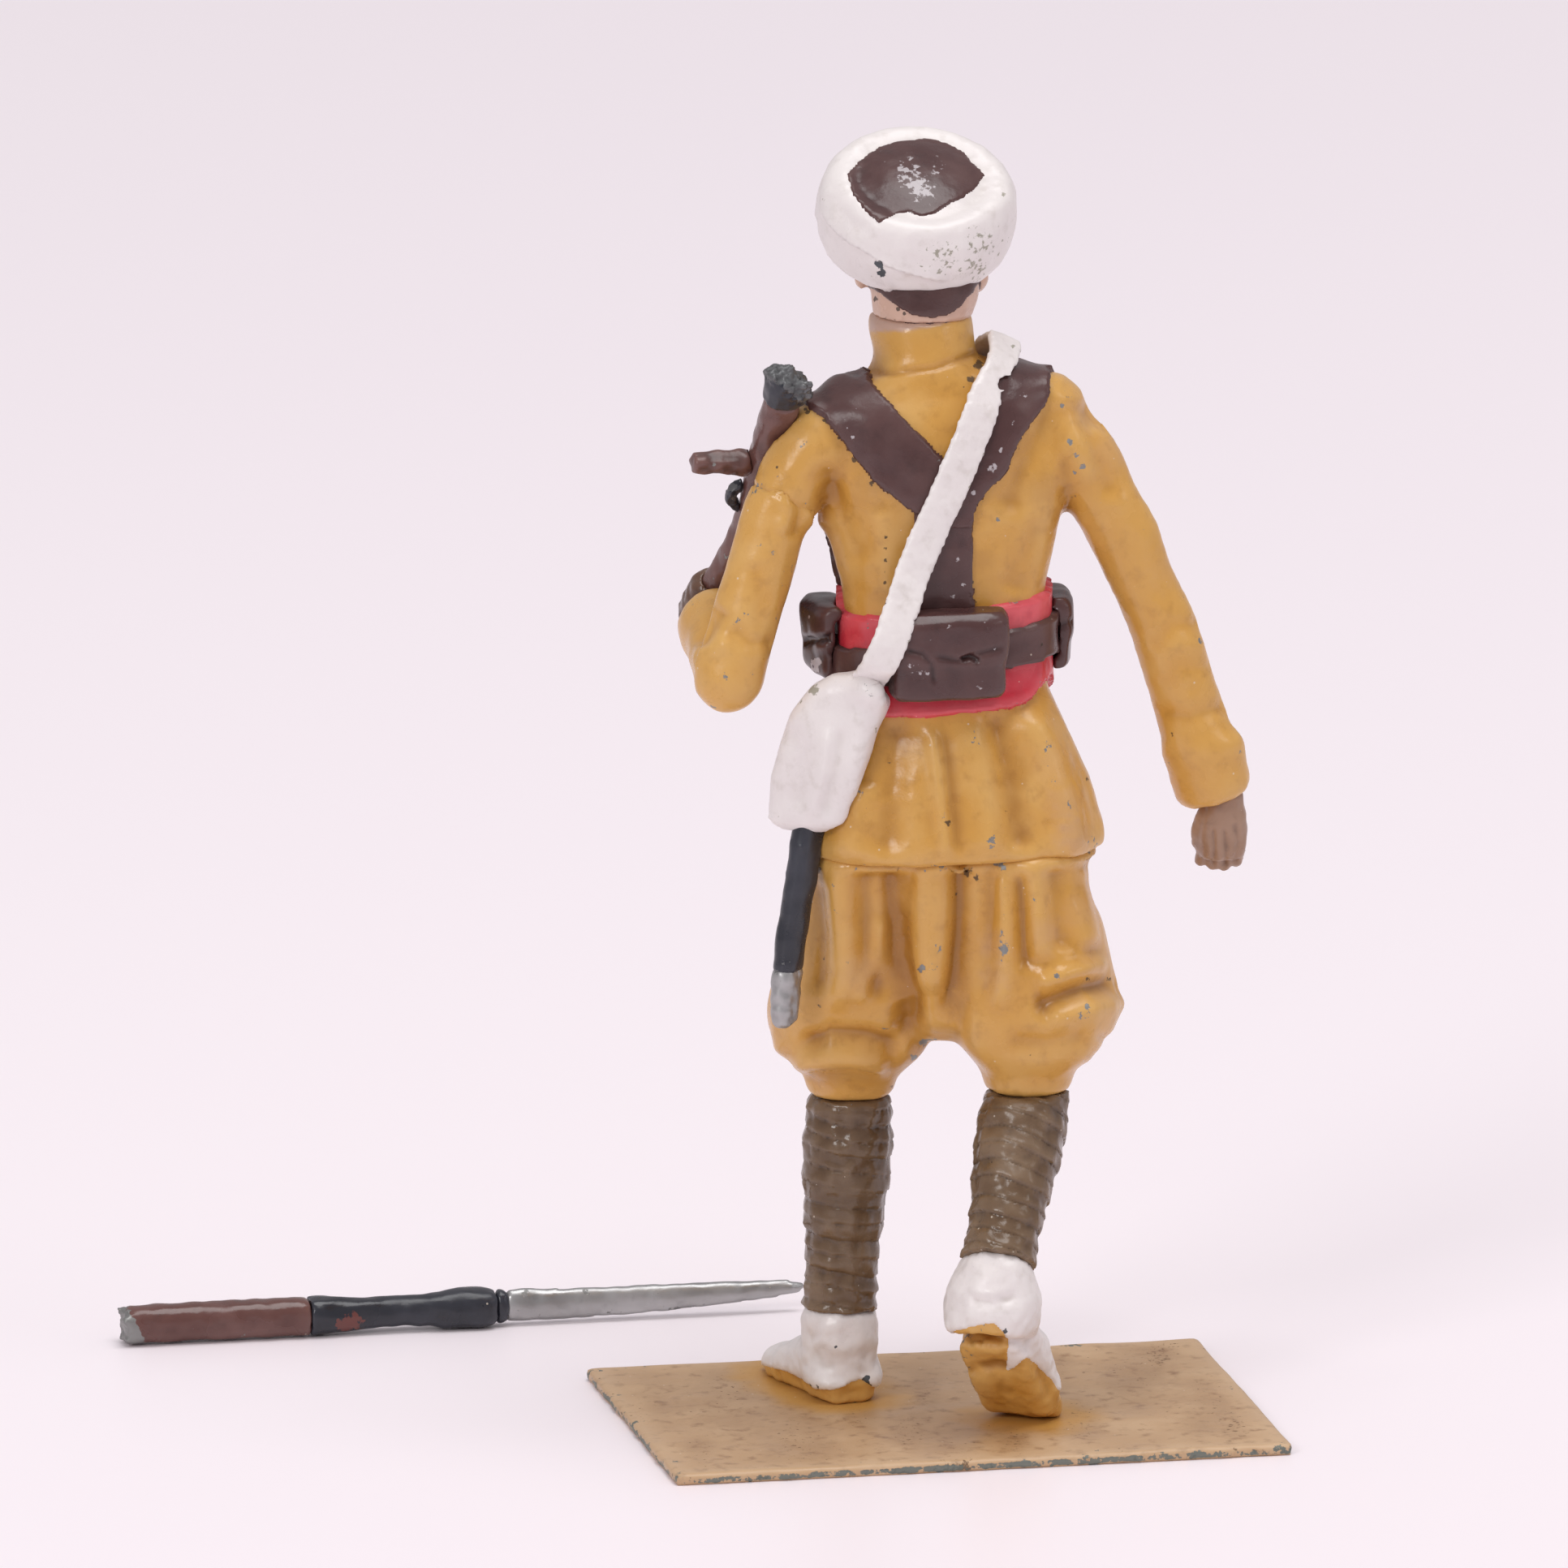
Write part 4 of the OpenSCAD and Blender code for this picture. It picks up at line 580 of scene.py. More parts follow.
TUNIC_FOLDS = [
    ridge(0.26, 0.3, (1168, 1066), (1161, 1010), (1154, 950), (1146, 890)),
    groove(0.1, 0.3, (1184, 1066), (1177, 1010), (1170, 950), (1162, 890)),
    ridge(0.5, 0.7, (1262, 870), (1294, 940), (1314, 1000), (1326, 1062)),
    groove(0.42, 0.75, (1222, 870), (1248, 950), (1266, 1062)),
    ridge(0.28, 0.7, (1200, 880), (1212, 960), (1222, 1062)),
    groove(0.28, 0.8, (1108, 880), (1098, 960), (1090, 1062)),
    ridge(0.28, 0.7, (1066, 960), (1056, 1010), (1048, 1062)),
    groove(0.14, 0.16, (1062, 458), (1100, 459), (1150, 454), (1215, 430)),
    groove(0.34, 0.75, (1302, 480), (1286, 530), (1262, 580), (1238, 640)),
    ridge(0.2, 0.6, (1312, 474), (1318, 530), (1345, 600)),
    groove(0.2, 0.6, (1334, 490), (1356, 560), (1374, 620)),
    groove(0.16, 0.6, (1288, 640), (1262, 690), (1248, 735)),
    groove(0.2, 0.7, (1006, 570), (1040, 640), (1062, 700)),
    ridge(0.14, 0.6, (1080, 620), (1092, 680), (1088, 740)),
    groove(0.1, 0.4, (1414, 800), (1445, 772), (1484, 768)),
    ridge(0.06, 0.35, (1418, 822), (1448, 797), (1490, 795)),
    groove(0.08, 0.35, (1424, 846), (1456, 822), (1498, 826)),
    ridge(0.22, 0.8, (1425, 918), (1475, 930), (1540, 912)),
    groove(0.16, 0.4, (1420, 876), (1465, 884), (1520, 868)),
]
TUNIC_SHAPE = [
    (1309, 467, 25, 0.55), (1358, 500, 36, -0.5), (1378, 530, 34, -0.12), (1417, 642, 40, 0.25),
    (1058, 452, 30, -0.55), (1524, 912, 16, 0.15),
]
ARMPIT_WEB = [(1008, 643, 16, 0.42)]
TUNIC_FRONT = [
    lap(0.2, 0.7, (0.2, 24.8), (0.2, 32.3)),
    lap(0.18, 0.6, (0.35, 36.0), (0.5, 47.0)),
    groove(0.2, 0.7, (-3.4, 24.8), (-2.6, 31.8)),
    groove(0.2, 0.7, (3.2, 24.8), (2.4, 31.8)),
    groove(0.16, 0.5, (-2.0, 41.0), (-1.0, 37.6)),
    groove(0.16, 0.5, (2.6, 42.0), (1.4, 37.6)),
]
# Pits, and in the four dabs from (1225, 424) to (1196, 466) a painted shadow along the strap's lifted end.
TUNIC_PITS_AND_STRAP_SHADOW = (
    spots(5, 0.81, (993, 507), (1017, 517), (1052, 566), (1073, 596))
    + spots(4, 0.72, (1034, 540), (1196, 716), (1322, 610), (1445, 905))
    + spots(3, 0.81, (1092, 662), (1091, 676), (1091, 690), (1090, 704), (1090, 718), (1096, 940))
    + spots(4, 0.63, (1196, 690), (1332, 905), (1285, 470), (1406, 838))
    + [(1063, 574, 4, 0.81), (1352, 1046, 4, 0.81), (1168, 1013, 5, 0.9), (1200, 742, 5, 0.72),
       (1003, 650, 5, 0.72), (1340, 960, 3, 0.72), (1240, 1000, 3, 0.72), (1225, 424, 6, 0.9),
       (1216, 436, 7, 0.9), (1206, 450, 7, 0.9), (1196, 466, 6, 0.81), (1250, 545, 12, 0.32)]
)
TUNIC_WEAR = (
    spots(4.5, 0.6, (1322, 582), (1308, 500), (1480, 790), (1230, 640))
    + [(1318, 545, 6, 0.68), (1334, 575, 6, 0.68), (1326, 560, 6, 0.6), (1340, 900, 4.5, 0.68)]
)
# Patches of painted shade under the arms, beside the straps and the haversack, and on the skirt.
TUNIC_PAINTED_SHADE = (
    spots(22, 0.3, (1284, 600), (1066, 610), (1118, 905))
    + [(1008, 640, 22, 0.5), (1310, 640, 20, 0.5), (1034, 1000, 26, 0.45), (1240, 545, 24, 0.3),
       (1130, 700, 16, 0.35), (1212, 690, 14, 0.35), (1330, 1030, 18, 0.3)]
)
# Painted highlights on shoulder, arm, skirt and back, in the second paint.
TUNIC_PAINTED_HIGHLIGHTS = [
    (1342, 506, 26, 0.18), (1366, 560, 26, 0.18), (1316, 990, 26, 0.22), (1322, 1030, 22, 0.25),
    (1300, 940, 24, 0.15), (1094, 590, 24, 0.12), (1440, 700, 26, 0.12),
]
# Painted highlights on the folds of the breeches, in the second paint.
BREECHES_PAINTED_HIGHLIGHTS = [
    (1226, 1165, 18, 0.2), (1226, 1205, 18, 0.22), (1290, 1150, 18, 0.18), (1360, 1180, 24, 0.18),
    (1372, 1230, 20, 0.15), (1020, 1330, 20, 0.15), (1060, 1200, 26, 0.15), (1330, 1120, 22, 0.15),
]
COLLAR_FLESH = [
    (1030, 300), (1030, 409), (1070, 409), (1110, 408), (1150, 402), (1197, 389), (1240, 380), (1240, 300),
]
LEFT_BRACE = [
    (985, 494), (994, 470), (1030, 456), (1070, 456), (1074, 473), (1110, 513), (1152, 556), (1180, 585),
    (1170, 645), (1128, 633), (1104, 615), (1080, 596), (1048, 556), (1016, 516),
]
RIGHT_BRACE = [
    (1215, 470), (1236, 450), (1272, 447), (1294, 462), (1292, 488), (1274, 512), (1250, 548), (1237, 582),
    (1216, 604), (1200, 628), (1197, 650), (1140, 650), (1165, 590), (1195, 520),
]
BACK_STRAP = [(1130, 620), (1205, 618), (1197, 642), (1197, 700), (1202, 790), (1105, 790), (1112, 740)]
# Worn spots, and in the first three, on the left brace, painted highlight specks.
BRACE_WEAR_AND_HIGHLIGHTS = (
    spots(4.5, 0.64, (1040, 517), (1044, 528), (1050, 540), (1248, 520), (1200, 606), (1172, 735))
    + [(1058, 506, 4.5, 0.48), (1108, 560, 4.5, 0.56), (1262, 486, 6, 0.56), (1180, 690, 6, 0.56),
       (1222, 576, 6, 0.72), (1232, 556, 4.5, 0.72), (1186, 720, 6, 0.64)]
)
SLEEVE_FOLDS = [
    groove(0.2, 0.35, (966, 576), (980, 598), (985, 628), (976, 668)),
    ridge(0.16, 0.35, (956, 592), (968, 606), (972, 632), (964, 660)),
    groove(0.18, 0.4, (900, 770), (925, 792), (958, 790)),
    groove(0.2, 0.35, (862, 800), (876, 774), (894, 748)),
    ridge(0.16, 0.4, (850, 822), (872, 802), (900, 790)),
    groove(0.14, 0.5, (928, 690), (940, 740), (936, 785)),
]
TURBAN_FOLDS = [
    lap(0.2, 0.7, (1172, 348), (1120, 336), (1085, 322), (1062, 306), (1036, 290), (1004, 256)),
    groove(0.1, 0.6, (1100, 300), (1150, 305), (1200, 290), (1244, 258)),
    groove(0.08, 0.45, (1026, 232), (1040, 262), (1066, 288)),
    groove(0.08, 0.4, (1052, 180), (1032, 206), (1024, 240)),
    groove(0.08, 0.4, (1210, 186), (1228, 214), (1230, 250)),
]
TURBAN_FRONT = [
    lap(0.22, 0.7, (-3.6, 50.0), (-1.2, 52.4), (0.7, 53.8), (2.2, 55.2)),
    lap(0.22, 0.7, (-0.8, 55.6), (0.9, 53.4), (2.6, 52.0), (4.8, 50.6)),
    lap(0.18, 0.6, (-3.9, 52.0), (-1.9, 53.6), (-0.4, 54.6), (0.8, 55.8)),
    lap(0.18, 0.6, (0.7, 55.4), (2.2, 54.0), (3.6, 53.0), (5.1, 52.2)),
]
# Dark specks, gathered in broad faint patches towards the lower right of the roll, and a few small ones.
TURBAN_DARK_SPECKS = [
    (1190, 312, 46, 0.29), (1150, 318, 30, 0.27), (1222, 296, 30, 0.24), (1014, 246, 3, 0.61),
    (1074, 340, 3, 0.61), (1018, 256, 3, 0.54), (1112, 318, 3, 0.54), (1100, 306, 3, 0.48),
    (1236, 240, 4, 0.48), (1128, 344, 14, 0.23), (1206, 336, 16, 0.27),
]
TURBAN_CHIPS = [(1082, 326, 6, 1), (1086, 336, 6, 1)]
CAP_OUTLINE = [
    (1043, 214), (1058, 198), (1082, 180), (1110, 173), (1140, 170), (1165, 175), (1185, 186), (1203, 205),
    (1213, 216), (1200, 235), (1175, 250), (1150, 263), (1138, 267), (1120, 262), (1105, 264), (1082, 275),
    (1066, 262), (1050, 240),
]
CAP_WEAR = [
    (1116, 198, 19, 0.3), (1134, 220, 26, 0.24), (1142, 243, 22, 0.31), (1156, 202, 14, 0.3),
    (1124, 228, 17, 0.3), (1086, 188, 14, 0.24), (1106, 216, 14, 0.24), (1084, 268, 7.2, 0.38),
    (1186, 230, 4.8, 0.43),
]
HAIR_LINE = [
    (1020, 300), (1046, 334), (1066, 350), (1086, 362), (1106, 378), (1126, 389), (1146, 392), (1166, 388),
    (1184, 376), (1198, 358), (1214, 334), (1250, 300),
]
NECK_SHAPE = [(1196, 356, 34, 0.45)]
NECK_SPECKS = [
    (1078, 368, 4, 1), (1106, 381, 3, 1), (1114, 386, 3, 1), (1090, 392, 3, 0.8), (1072, 352, 4, 0.8),
]
HAVERSACK_FOLDS = [
    groove(0.16, 0.35, (1036, 895), (1028, 950), (1012, 1010)),
    ridge(0.18, 0.35, (1024, 895), (1016, 950), (1000, 1010)),
    groove(0.14, 0.5, (968, 890), (988, 930), (984, 1000)),
    ridge(0.12, 0.4, (1064, 870), (1056, 930), (1044, 990)),
]
HAVERSACK_SHAPE = [(1078, 846, 24, 0.6), (1086, 866, 20, 0.15)]
HAVERSACK_DIRT = [
    (1002, 848, 9, 0.8), (984, 862, 7, 0.6), (1080, 900, 5, 0.6), (958, 1004, 6, 0.5), (1064, 985, 4, 0.6),
]
# Dirt specks, and in the last two, at the strap's lifted end on the shoulder, a painted shadow.
STRAP_DIRT_AND_SHADOW = (
    spots(4, 0.8, (1212, 560), (1196, 600), (1172, 656), (1128, 770))
    + [(1230, 590, 3, 0.9), (1150, 726, 5, 0.8), (1142, 744, 4, 0.9), (1120, 790, 4, 0.7),
       (1264, 440, 6, 0.6), (1248, 426, 4, 0.6)]
)
POUCH_LINES = [
    groove(0.14, 0.13, (1112, 800), (1136, 806), (1148, 818), (1152, 845)),
    groove(0.12, 0.13, (1148, 808), (1180, 814), (1204, 806), (1240, 796)),
    groove(0.3, 0.13, (1184, 815), (1196, 811), (1208, 816)),
]
POUCH_SMEARS = [
    (1124, 822, 9.1, 0.45), (1140, 828, 7.8, 0.5), (1150, 790, 6.5, 0.45), (1170, 776, 7.8, 0.4),
    (1206, 845, 7.8, 0.4), (1216, 770, 6.5, 0.5), (1228, 800, 5.2, 0.5), (1134, 770, 6.5, 0.4),
]
SIDE_POUCH_LINES = [
    groove(0.3, 0.2, (975, 792), (1010, 788), (1050, 784)),
    groove(0.12, 0.2, (1284, 765), (1304, 770), (1326, 764)),
]
POUCH_SHADE = {"left": 0.75, "right": 0.3}
SIDE_POUCH_CHIPS = [
    (1005, 816, 6, 1), (1003, 828, 6, 1), (1000, 837, 4, 0.9), (996, 760, 3, 0.6), (1302, 750, 3, 0.6),
]
HAND_LINES = [
    groove(0.1, 0.12, (1494, 1018), (1496, 1044), (1494, 1072)),
    groove(0.1, 0.12, (1508, 1018), (1511, 1044), (1508, 1074)),
    groove(0.08, 0.12, (1522, 1012), (1526, 1038), (1522, 1064)),
    groove(0.08, 0.14, (880, 722), (866, 726), (852, 734)),
    groove(0.08, 0.14, (884, 744), (866, 748), (850, 756)),
    groove(0.08, 0.14, (886, 766), (866, 770), (852, 778)),
]
RIGHT_GAITER = [
    (1150, 1500), (1150, 1648), (1178, 1640), (1200, 1635), (1226, 1630), (1243, 1650), (1240, 1690),
    (1252, 1684), (1265, 1671), (1282, 1686), (1297, 1702), (1312, 1722), (1360, 1722), (1340, 1500),
]
LEFT_GAITER = [
    (900, 1560), (900, 1672), (925, 1677), (950, 1685), (972, 1690), (990, 1700), (1005, 1711),
    (1030, 1713), (1048, 1704), (1062, 1700), (1078, 1710), (1110, 1702), (1110, 1560),
]
SHOE_SHAPE = [(1178, 1646, 18, 0.35), (1196, 1670, 20, 0.28), (1200, 1706, 24, 0.45)]
SHOE_LINES = [
    groove(0.24, 0.25, (1172, 1694), (1205, 1688), (1246, 1680)),
    ridge(0.16, 0.3, (1168, 1662), (1205, 1656), (1240, 1664)),
    groove(0.2, 0.12, (1196, 1652), (1205, 1651), (1214, 1653)),
    groove(0.16, 0.3, (1195, 1600), (1225, 1606), (1262, 1596)),
    ridge(0.14, 0.4, (1000, 1650), (1040, 1660), (1085, 1650)),
]
GAITER_CHIPS = [
    (1068, 1699, 6, 1), (1072, 1708, 5, 1), (1240, 1640, 4, 0.8), (1200, 1560, 3, 0.6),
    (1030, 1660, 3, 0.5),
]
BASE_SMUDGES = [
    (800, 1742, 40, 0.34), (900, 1716, 46, 0.4), (985, 1776, 44, 0.42), (1120, 1762, 30, 0.46),
    (1180, 1790, 34, 0.4), (1330, 1752, 34, 0.42), (1400, 1690, 44, 0.38), (1490, 1726, 40, 0.38),
    (1528, 1764, 22, 0.42), (1060, 1742, 26, 0.4), (1440, 1660, 26, 0.36), (1140, 1716, 22, 0.4),
    (862, 1786, 26, 0.38), (1302, 1690, 24, 0.36), (1250, 1776, 20, 0.5),
]
FACE_X = 0.6
CHIN_Z = 48.8
FACE_L = 6.0
EYE_X, EYE_K = 1.0, 0.47
EYE_HALF = (0.42, 0.17)
MOUTH_K = 0.205
MOUTH_HALF = (0.72, 0.3)


def face_line(kind, depth, width, *points):
    """The same line on both halves of the face, from shares of its height and offsets from its middle."""
    return [kind(depth, width, *((FACE_X + side * x, CHIN_Z + FACE_L * k) for x, k in points))
            for side in (-1, 1)]


FACE_LINES = (
    face_line(groove, 0.16, 0.3, (0.45, 0.5), (1.0, 0.51), (1.55, 0.49))
    + face_line(ridge, 0.12, 0.2, (0.5, 0.565), (1.05, 0.58), (1.7, 0.555))
    + face_line(ridge, 0.16, 0.22, (0.66, 0.475), (1.0, 0.478), (1.36, 0.47))
    + face_line(groove, 0.06, 0.1, (0.6, 0.43), (1.0, 0.425), (1.4, 0.44))
    + face_line(ridge, 0.12, 0.5, (1.1, 0.36), (1.6, 0.38), (2.0, 0.42))
    + face_line(groove, 0.1, 0.14, (0.5, 0.34), (0.72, 0.28), (0.86, 0.22))
    + face_line(groove, 0.12, 0.1, (0.12, 0.305), (0.3, 0.305), (0.42, 0.315))
    + face_line(groove, 0.12, 0.09, (-0.05, 0.205), (0.35, 0.208), (0.78, 0.2))
    + face_line(ridge, 0.08, 0.14, (0.0, 0.245), (0.3, 0.238), (0.6, 0.222))
    + face_line(ridge, 0.1, 0.15, (-0.05, 0.165), (0.3, 0.168), (0.58, 0.185))
    + face_line(groove, 0.08, 0.14, (-0.05, 0.115), (0.25, 0.12), (0.5, 0.13))
)


def casting(voxel, rounds, *nodes):
    """Smooth skin over nodes, at half the size of its voxels."""
    return Skin.over(voxel, *nodes).smooth(rounds).divide()


def dressed(skin, height, size, seed, deep=0.1, broad=None):
    """Adds the slight unevenness of a hand-finished casting and marks painted shade in its hollows and
    painted highlight on its ridges.
    """
    return skin.uneven((height, size, seed)).weather(deep=deep, broad=broad)


def outlined(skin, outline, seed=0.0, soft=0.1, ragged=0.05):
    """Share of points within an outline of the photograph, with a hand-painted edge."""
    edge = inside(outline, photo_flat(skin.points)) / PIXELS_PER_MM
    return smoothstep(-soft, soft, edge + ragged * rough(skin.points, 0.3, seed))


def wound(skin, pitch, thick, seed):
    """Winds a strip around a leg, where each turn's lower edge stands over the turn below."""
    middle = skin.points.mean(axis=0)
    axis = np.linalg.svd(skin.points - middle, full_matrices=False)[2][0]
    axis = axis * np.sign(axis[2])
    across = np.cross(axis, FRONT)
    across = across / np.linalg.norm(across)
    offset = skin.points - middle
    angle = np.arctan2(offset @ np.cross(axis, across), offset @ across)
    turns = offset @ axis / pitch + angle / (2 * math.pi) + 0.1 * np.sin(angle * 2 + seed)
    turns = turns + 0.34 * rough(skin.points, 2.6, seed)
    rise = turns - np.floor(turns)
    strip = smoothstep(0.0, 0.16, rise) * (1.0 - 0.6 * rise)
    thick = thick * (1.0 + 0.9 * rough(skin.points, 1.3, seed + 1.0))
    return skin.push(thick * (strip - 0.4) * smoothstep(0.9, 0.6, np.abs(skin.normals() @ axis)))


# Tunic and what lies on it

TUNIC_NODES = ("tunic_body", "tunic_skirt", "right_sleeve")
tunic = casting(0.26, 27, *TUNIC_NODES)
tunic.swell(TUNIC_SHAPE + ARMPIT_WEB).crease(TUNIC_FOLDS).crease(TUNIC_FRONT, front_flat, FRONT, 1.0)
tunic.uneven((0.05, 2.2, 1.0), (0.02, 0.6, 1.5))
tunic.push(-0.12 * smoothstep(0.5, 0.1, tunic.near("left_sleeve", limit=1.0)))
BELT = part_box("waist_belt")
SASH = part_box("cummerbund")
trunk_only = tunic.points[:, 0] > BELT[0].x / MM - 0.8
from_behind = smoothstep(-0.3, 0.3, tunic.normals() @ BACK)
SASH_T = 0.3
BELT_T = 0.3
BRACE_T = 0.28
BACK_STRAP_T = BRACE_T - 0.06
BRACE_LIMIT = (1303, 1291)


def band(lower, upper, lift, seed):
    """Shell around the trunk between two heights."""
    z = tunic.points[:, 2] + 0.07 * rough(tunic.points, 0.8, seed)
    share = smoothstep(-0.14, 0.14, np.minimum(z - lower, upper - z)) * trunk_only
    return tunic.shell(share, lift).uneven((0.02, 0.8, seed)).weather(14, 0.07)


def behind(height, tilt, in_front, rise=0.0):
    """A tilted height at the back that turns into the CAD's at the front."""
    rear = height + tilt * tunic.points[:, 0] + rise
    return from_behind * rear + (1.0 - from_behind) * in_front / MM


SASH_LOW, SASH_HIGH = (31.75, -0.05), (36.15, -0.07)
BELT_LOW, BELT_HIGH = (33.27, -0.107), (34.95, -0.128)
SASH_RISE, SASH_RISE_X = 0.9, (-3.0, -4.6)
sash_rise = SASH_RISE * smoothstep(*SASH_RISE_X, tunic.points[:, 0])
sash = band(behind(*SASH_LOW, SASH[0].z, sash_rise), behind(*SASH_HIGH, SASH[1].z), SASH_T, 2.0)
piece(sash, red, "cummerbund")
belt = band(behind(*BELT_LOW, BELT[0].z), behind(*BELT_HIGH, BELT[1].z), SASH_T + BELT_T, 3.0)
piece(belt, leather, "waist_belt")

for node, outline, seed in (("left_brace", LEFT_BRACE, 4.0), ("right_brace", RIGHT_BRACE, 5.0),
                            ("back_strap", BACK_STRAP, 6.0)):
    seen = tunic.facing(BACK)
    share = seen * outlined(tunic, outline, seed, 0.12) + (1.0 - seen) * tunic.covered(node)
    share = share * smoothstep(*BRACE_LIMIT, photo_flat(tunic.points)[:, 0])
    brace = tunic.shell(share * trunk_only, BACK_STRAP_T if node == "back_strap" else BRACE_T)
    brace.uneven((0.025, 0.7, seed)).weather(14, 0.07)
    piece(brace.dab("second", BRACE_WEAR_AND_HIGHLIGHTS), leather, node)

STRAP_NODES = ("haversack_strap", "left_brace", "right_brace", "back_strap")
tunic.weather(deep=0.18, broad=1.0)
# Painted shade along the edges of the straps and braces, through the dirt mark.
tunic.mark("soil", 0.3 * smoothstep(0.4, 0.05, tunic.near(*STRAP_NODES, limit=1.0)))
# Pits with a painted shadow along the strap's lifted end, worn spots, and patches of painted shade.
tunic.dab("soil", TUNIC_PITS_AND_STRAP_SHADOW).dab("bare", TUNIC_WEAR).dab("hollow", TUNIC_PAINTED_SHADE)
# Painted highlights in the second paint, and the flesh colour at the collar.
tunic.dab("second", TUNIC_PAINTED_HIGHLIGHTS).mark("second", outlined(tunic, COLLAR_FLESH, 7.0) * tunic.facing(BACK))
piece(tunic, ochre, *TUNIC_NODES, name="tunic_cast")

shoulder = casting(0.25, 14, "tunic_body", "left_sleeve").swell(ARMPIT_WEB).crease(SLEEVE_FOLDS)
shoulder.uneven((0.05, 1.4, 8.0))
sleeve_share = shoulder.blur((shoulder.near("left_sleeve", limit=1.0) < 0.25).astype(float), 6)
left_arm = shoulder.shell(sleeve_share, 0.05)
piece(left_arm.weather(deep=0.16, broad=0.6), ochre, "left_sleeve")

STRAP_SHIFT = -19.0 / PIXELS_PER_MM
STRAP_SHIFT_ROWS = (425, 490)
STRAP_END_ROWS = (828, 848)
STRAP_DIP = 0.5
TRUNK_MIDDLE = np.array([0.0, -2.0, 40.0])
under_strap = BVHTree.FromPolygons(tunic.points.tolist(), tunic.quads.tolist())


def height_over_tunic(points):
    """Distance along the view from a plane behind the figure to the tunic, or none."""
    hits = [under_strap.ray_cast(p, -BACK)[3] for p in (points + 20.0 * BACK).tolist()]
    return np.array([np.nan if far is None else far for far in hits])


strap = casting(0.18, 2, "haversack_strap")
down = photo_flat(strap.points)[:, 1]
shift = STRAP_SHIFT * smoothstep(*STRAP_SHIFT_ROWS, down)
shift = shift * smoothstep(0.5, 2.0, (strap.points - TRUNK_MIDDLE) @ BACK)
moved = strap.points + shift[:, None] * RIGHT
sink = np.nan_to_num(height_over_tunic(strap.points) - height_over_tunic(moved))
sink = strap.blur(np.clip(sink, -0.5, 0.5), 30) - STRAP_DIP * smoothstep(*STRAP_END_ROWS, down)
strap.points = moved + sink[:, None] * BACK
strap.uneven((0.03, 0.9, 9.0), (0.02, 0.25, 9.5)).weather(14).dab("soil", STRAP_DIRT_AND_SHADOW)
STRAP_FRONT = [(1.9, 37.6), (2.9, 35.9), (4.1, 33.6), (5.6, 30.8)]
STRAP_HALF = 0.78
run = stroke(STRAP_FRONT, front_flat(tunic.points))[0]
front_share = smoothstep(STRAP_HALF + 0.1, STRAP_HALF - 0.1, run)
front_share = front_share * smoothstep(0.0, 0.2, tunic.normals() @ FRONT)
tail = tunic.shell(front_share * trunk_only, 0.46).weather(14)
strap = strap.joined(tail)
piece(strap, white, "haversack_strap")

# Pixels that the haversack's left and right edges move in, at the top and at the bottom
HAVERSACK_IN = ((17, 12), (29, 14))
HAVERSACK_ROWS = (870, 1010)
HAVERSACK_COLUMNS = (975, 1105)
HAVERSACK_BOTTOM = (960, 1010)
HAVERSACK_LOWER = 12
haversack = casting(0.2, 15, "haversack")
place = photo_flat(haversack.points)
low = smoothstep(*HAVERSACK_ROWS, place[:, 1])
across = np.clip((place[:, 0] - HAVERSACK_COLUMNS[0]) / np.ptp(HAVERSACK_COLUMNS), 0.0, 1.0)
left_in, right_in = ((1.0 - low) * top + low * bottom for top, bottom in HAVERSACK_IN)
inward = (1.0 - across) * left_in + across * right_in
below = HAVERSACK_LOWER * smoothstep(*HAVERSACK_BOTTOM, place[:, 1])
haversack.points = haversack.points - (inward[:, None] * RIGHT + below[:, None] * UP) / PIXELS_PER_MM
haversack.swell(HAVERSACK_SHAPE).crease(HAVERSACK_FOLDS).dab("soil", HAVERSACK_DIRT)
piece(dressed(haversack, 0.04, 1.5, 10.0, 0.4), white, "haversack")

rear_pouch = casting(0.17, 3, "rear_pouch").crease(POUCH_LINES).dab("second", POUCH_SMEARS)
piece(dressed(rear_pouch, 0.06, 0.9, 11.0), leather, "rear_pouch")
for side in ("left", "right"):
    side_pouch = casting(0.17, 4, side + "_pouch").crease(SIDE_POUCH_LINES).dab("second", SIDE_POUCH_CHIPS)
    side_pouch.mark("hollow", POUCH_SHADE[side])
    piece(dressed(side_pouch, 0.08, 1.0, 12.0), leather, side + "_pouch")

SCABBARD_LEAN = -15.0 / PIXELS_PER_MM
SCABBARD_ROWS = (1030, 1250)
SCABBARD_GROWTH = 0.12
for node, uneven, size, paint in (("scabbard", 0.05, 0.8, gunmetal), ("scabbard_chape", 0.08, 0.45, silver)):
    sheath = casting(0.14, 4, node)
    lean = SCABBARD_LEAN * smoothstep(*SCABBARD_ROWS, photo_flat(sheath.points)[:, 1])
    sheath.points = sheath.points + lean[:, None] * RIGHT
    sheath.push(SCABBARD_GROWTH)
    piece(dressed(sheath, uneven, size, 13.0), paint, node)

# Legs

breeches = casting(0.26, 30, "breeches").swell(BREECHES_SHAPE).crease(BREECHES_FOLDS)
breeches.crease(BREECHES_FRONT, front_flat, FRONT, 1.0)
breeches.push(0.2 * smoothstep(0.7, 0.1, breeches.near("tunic_skirt", limit=1.0)))
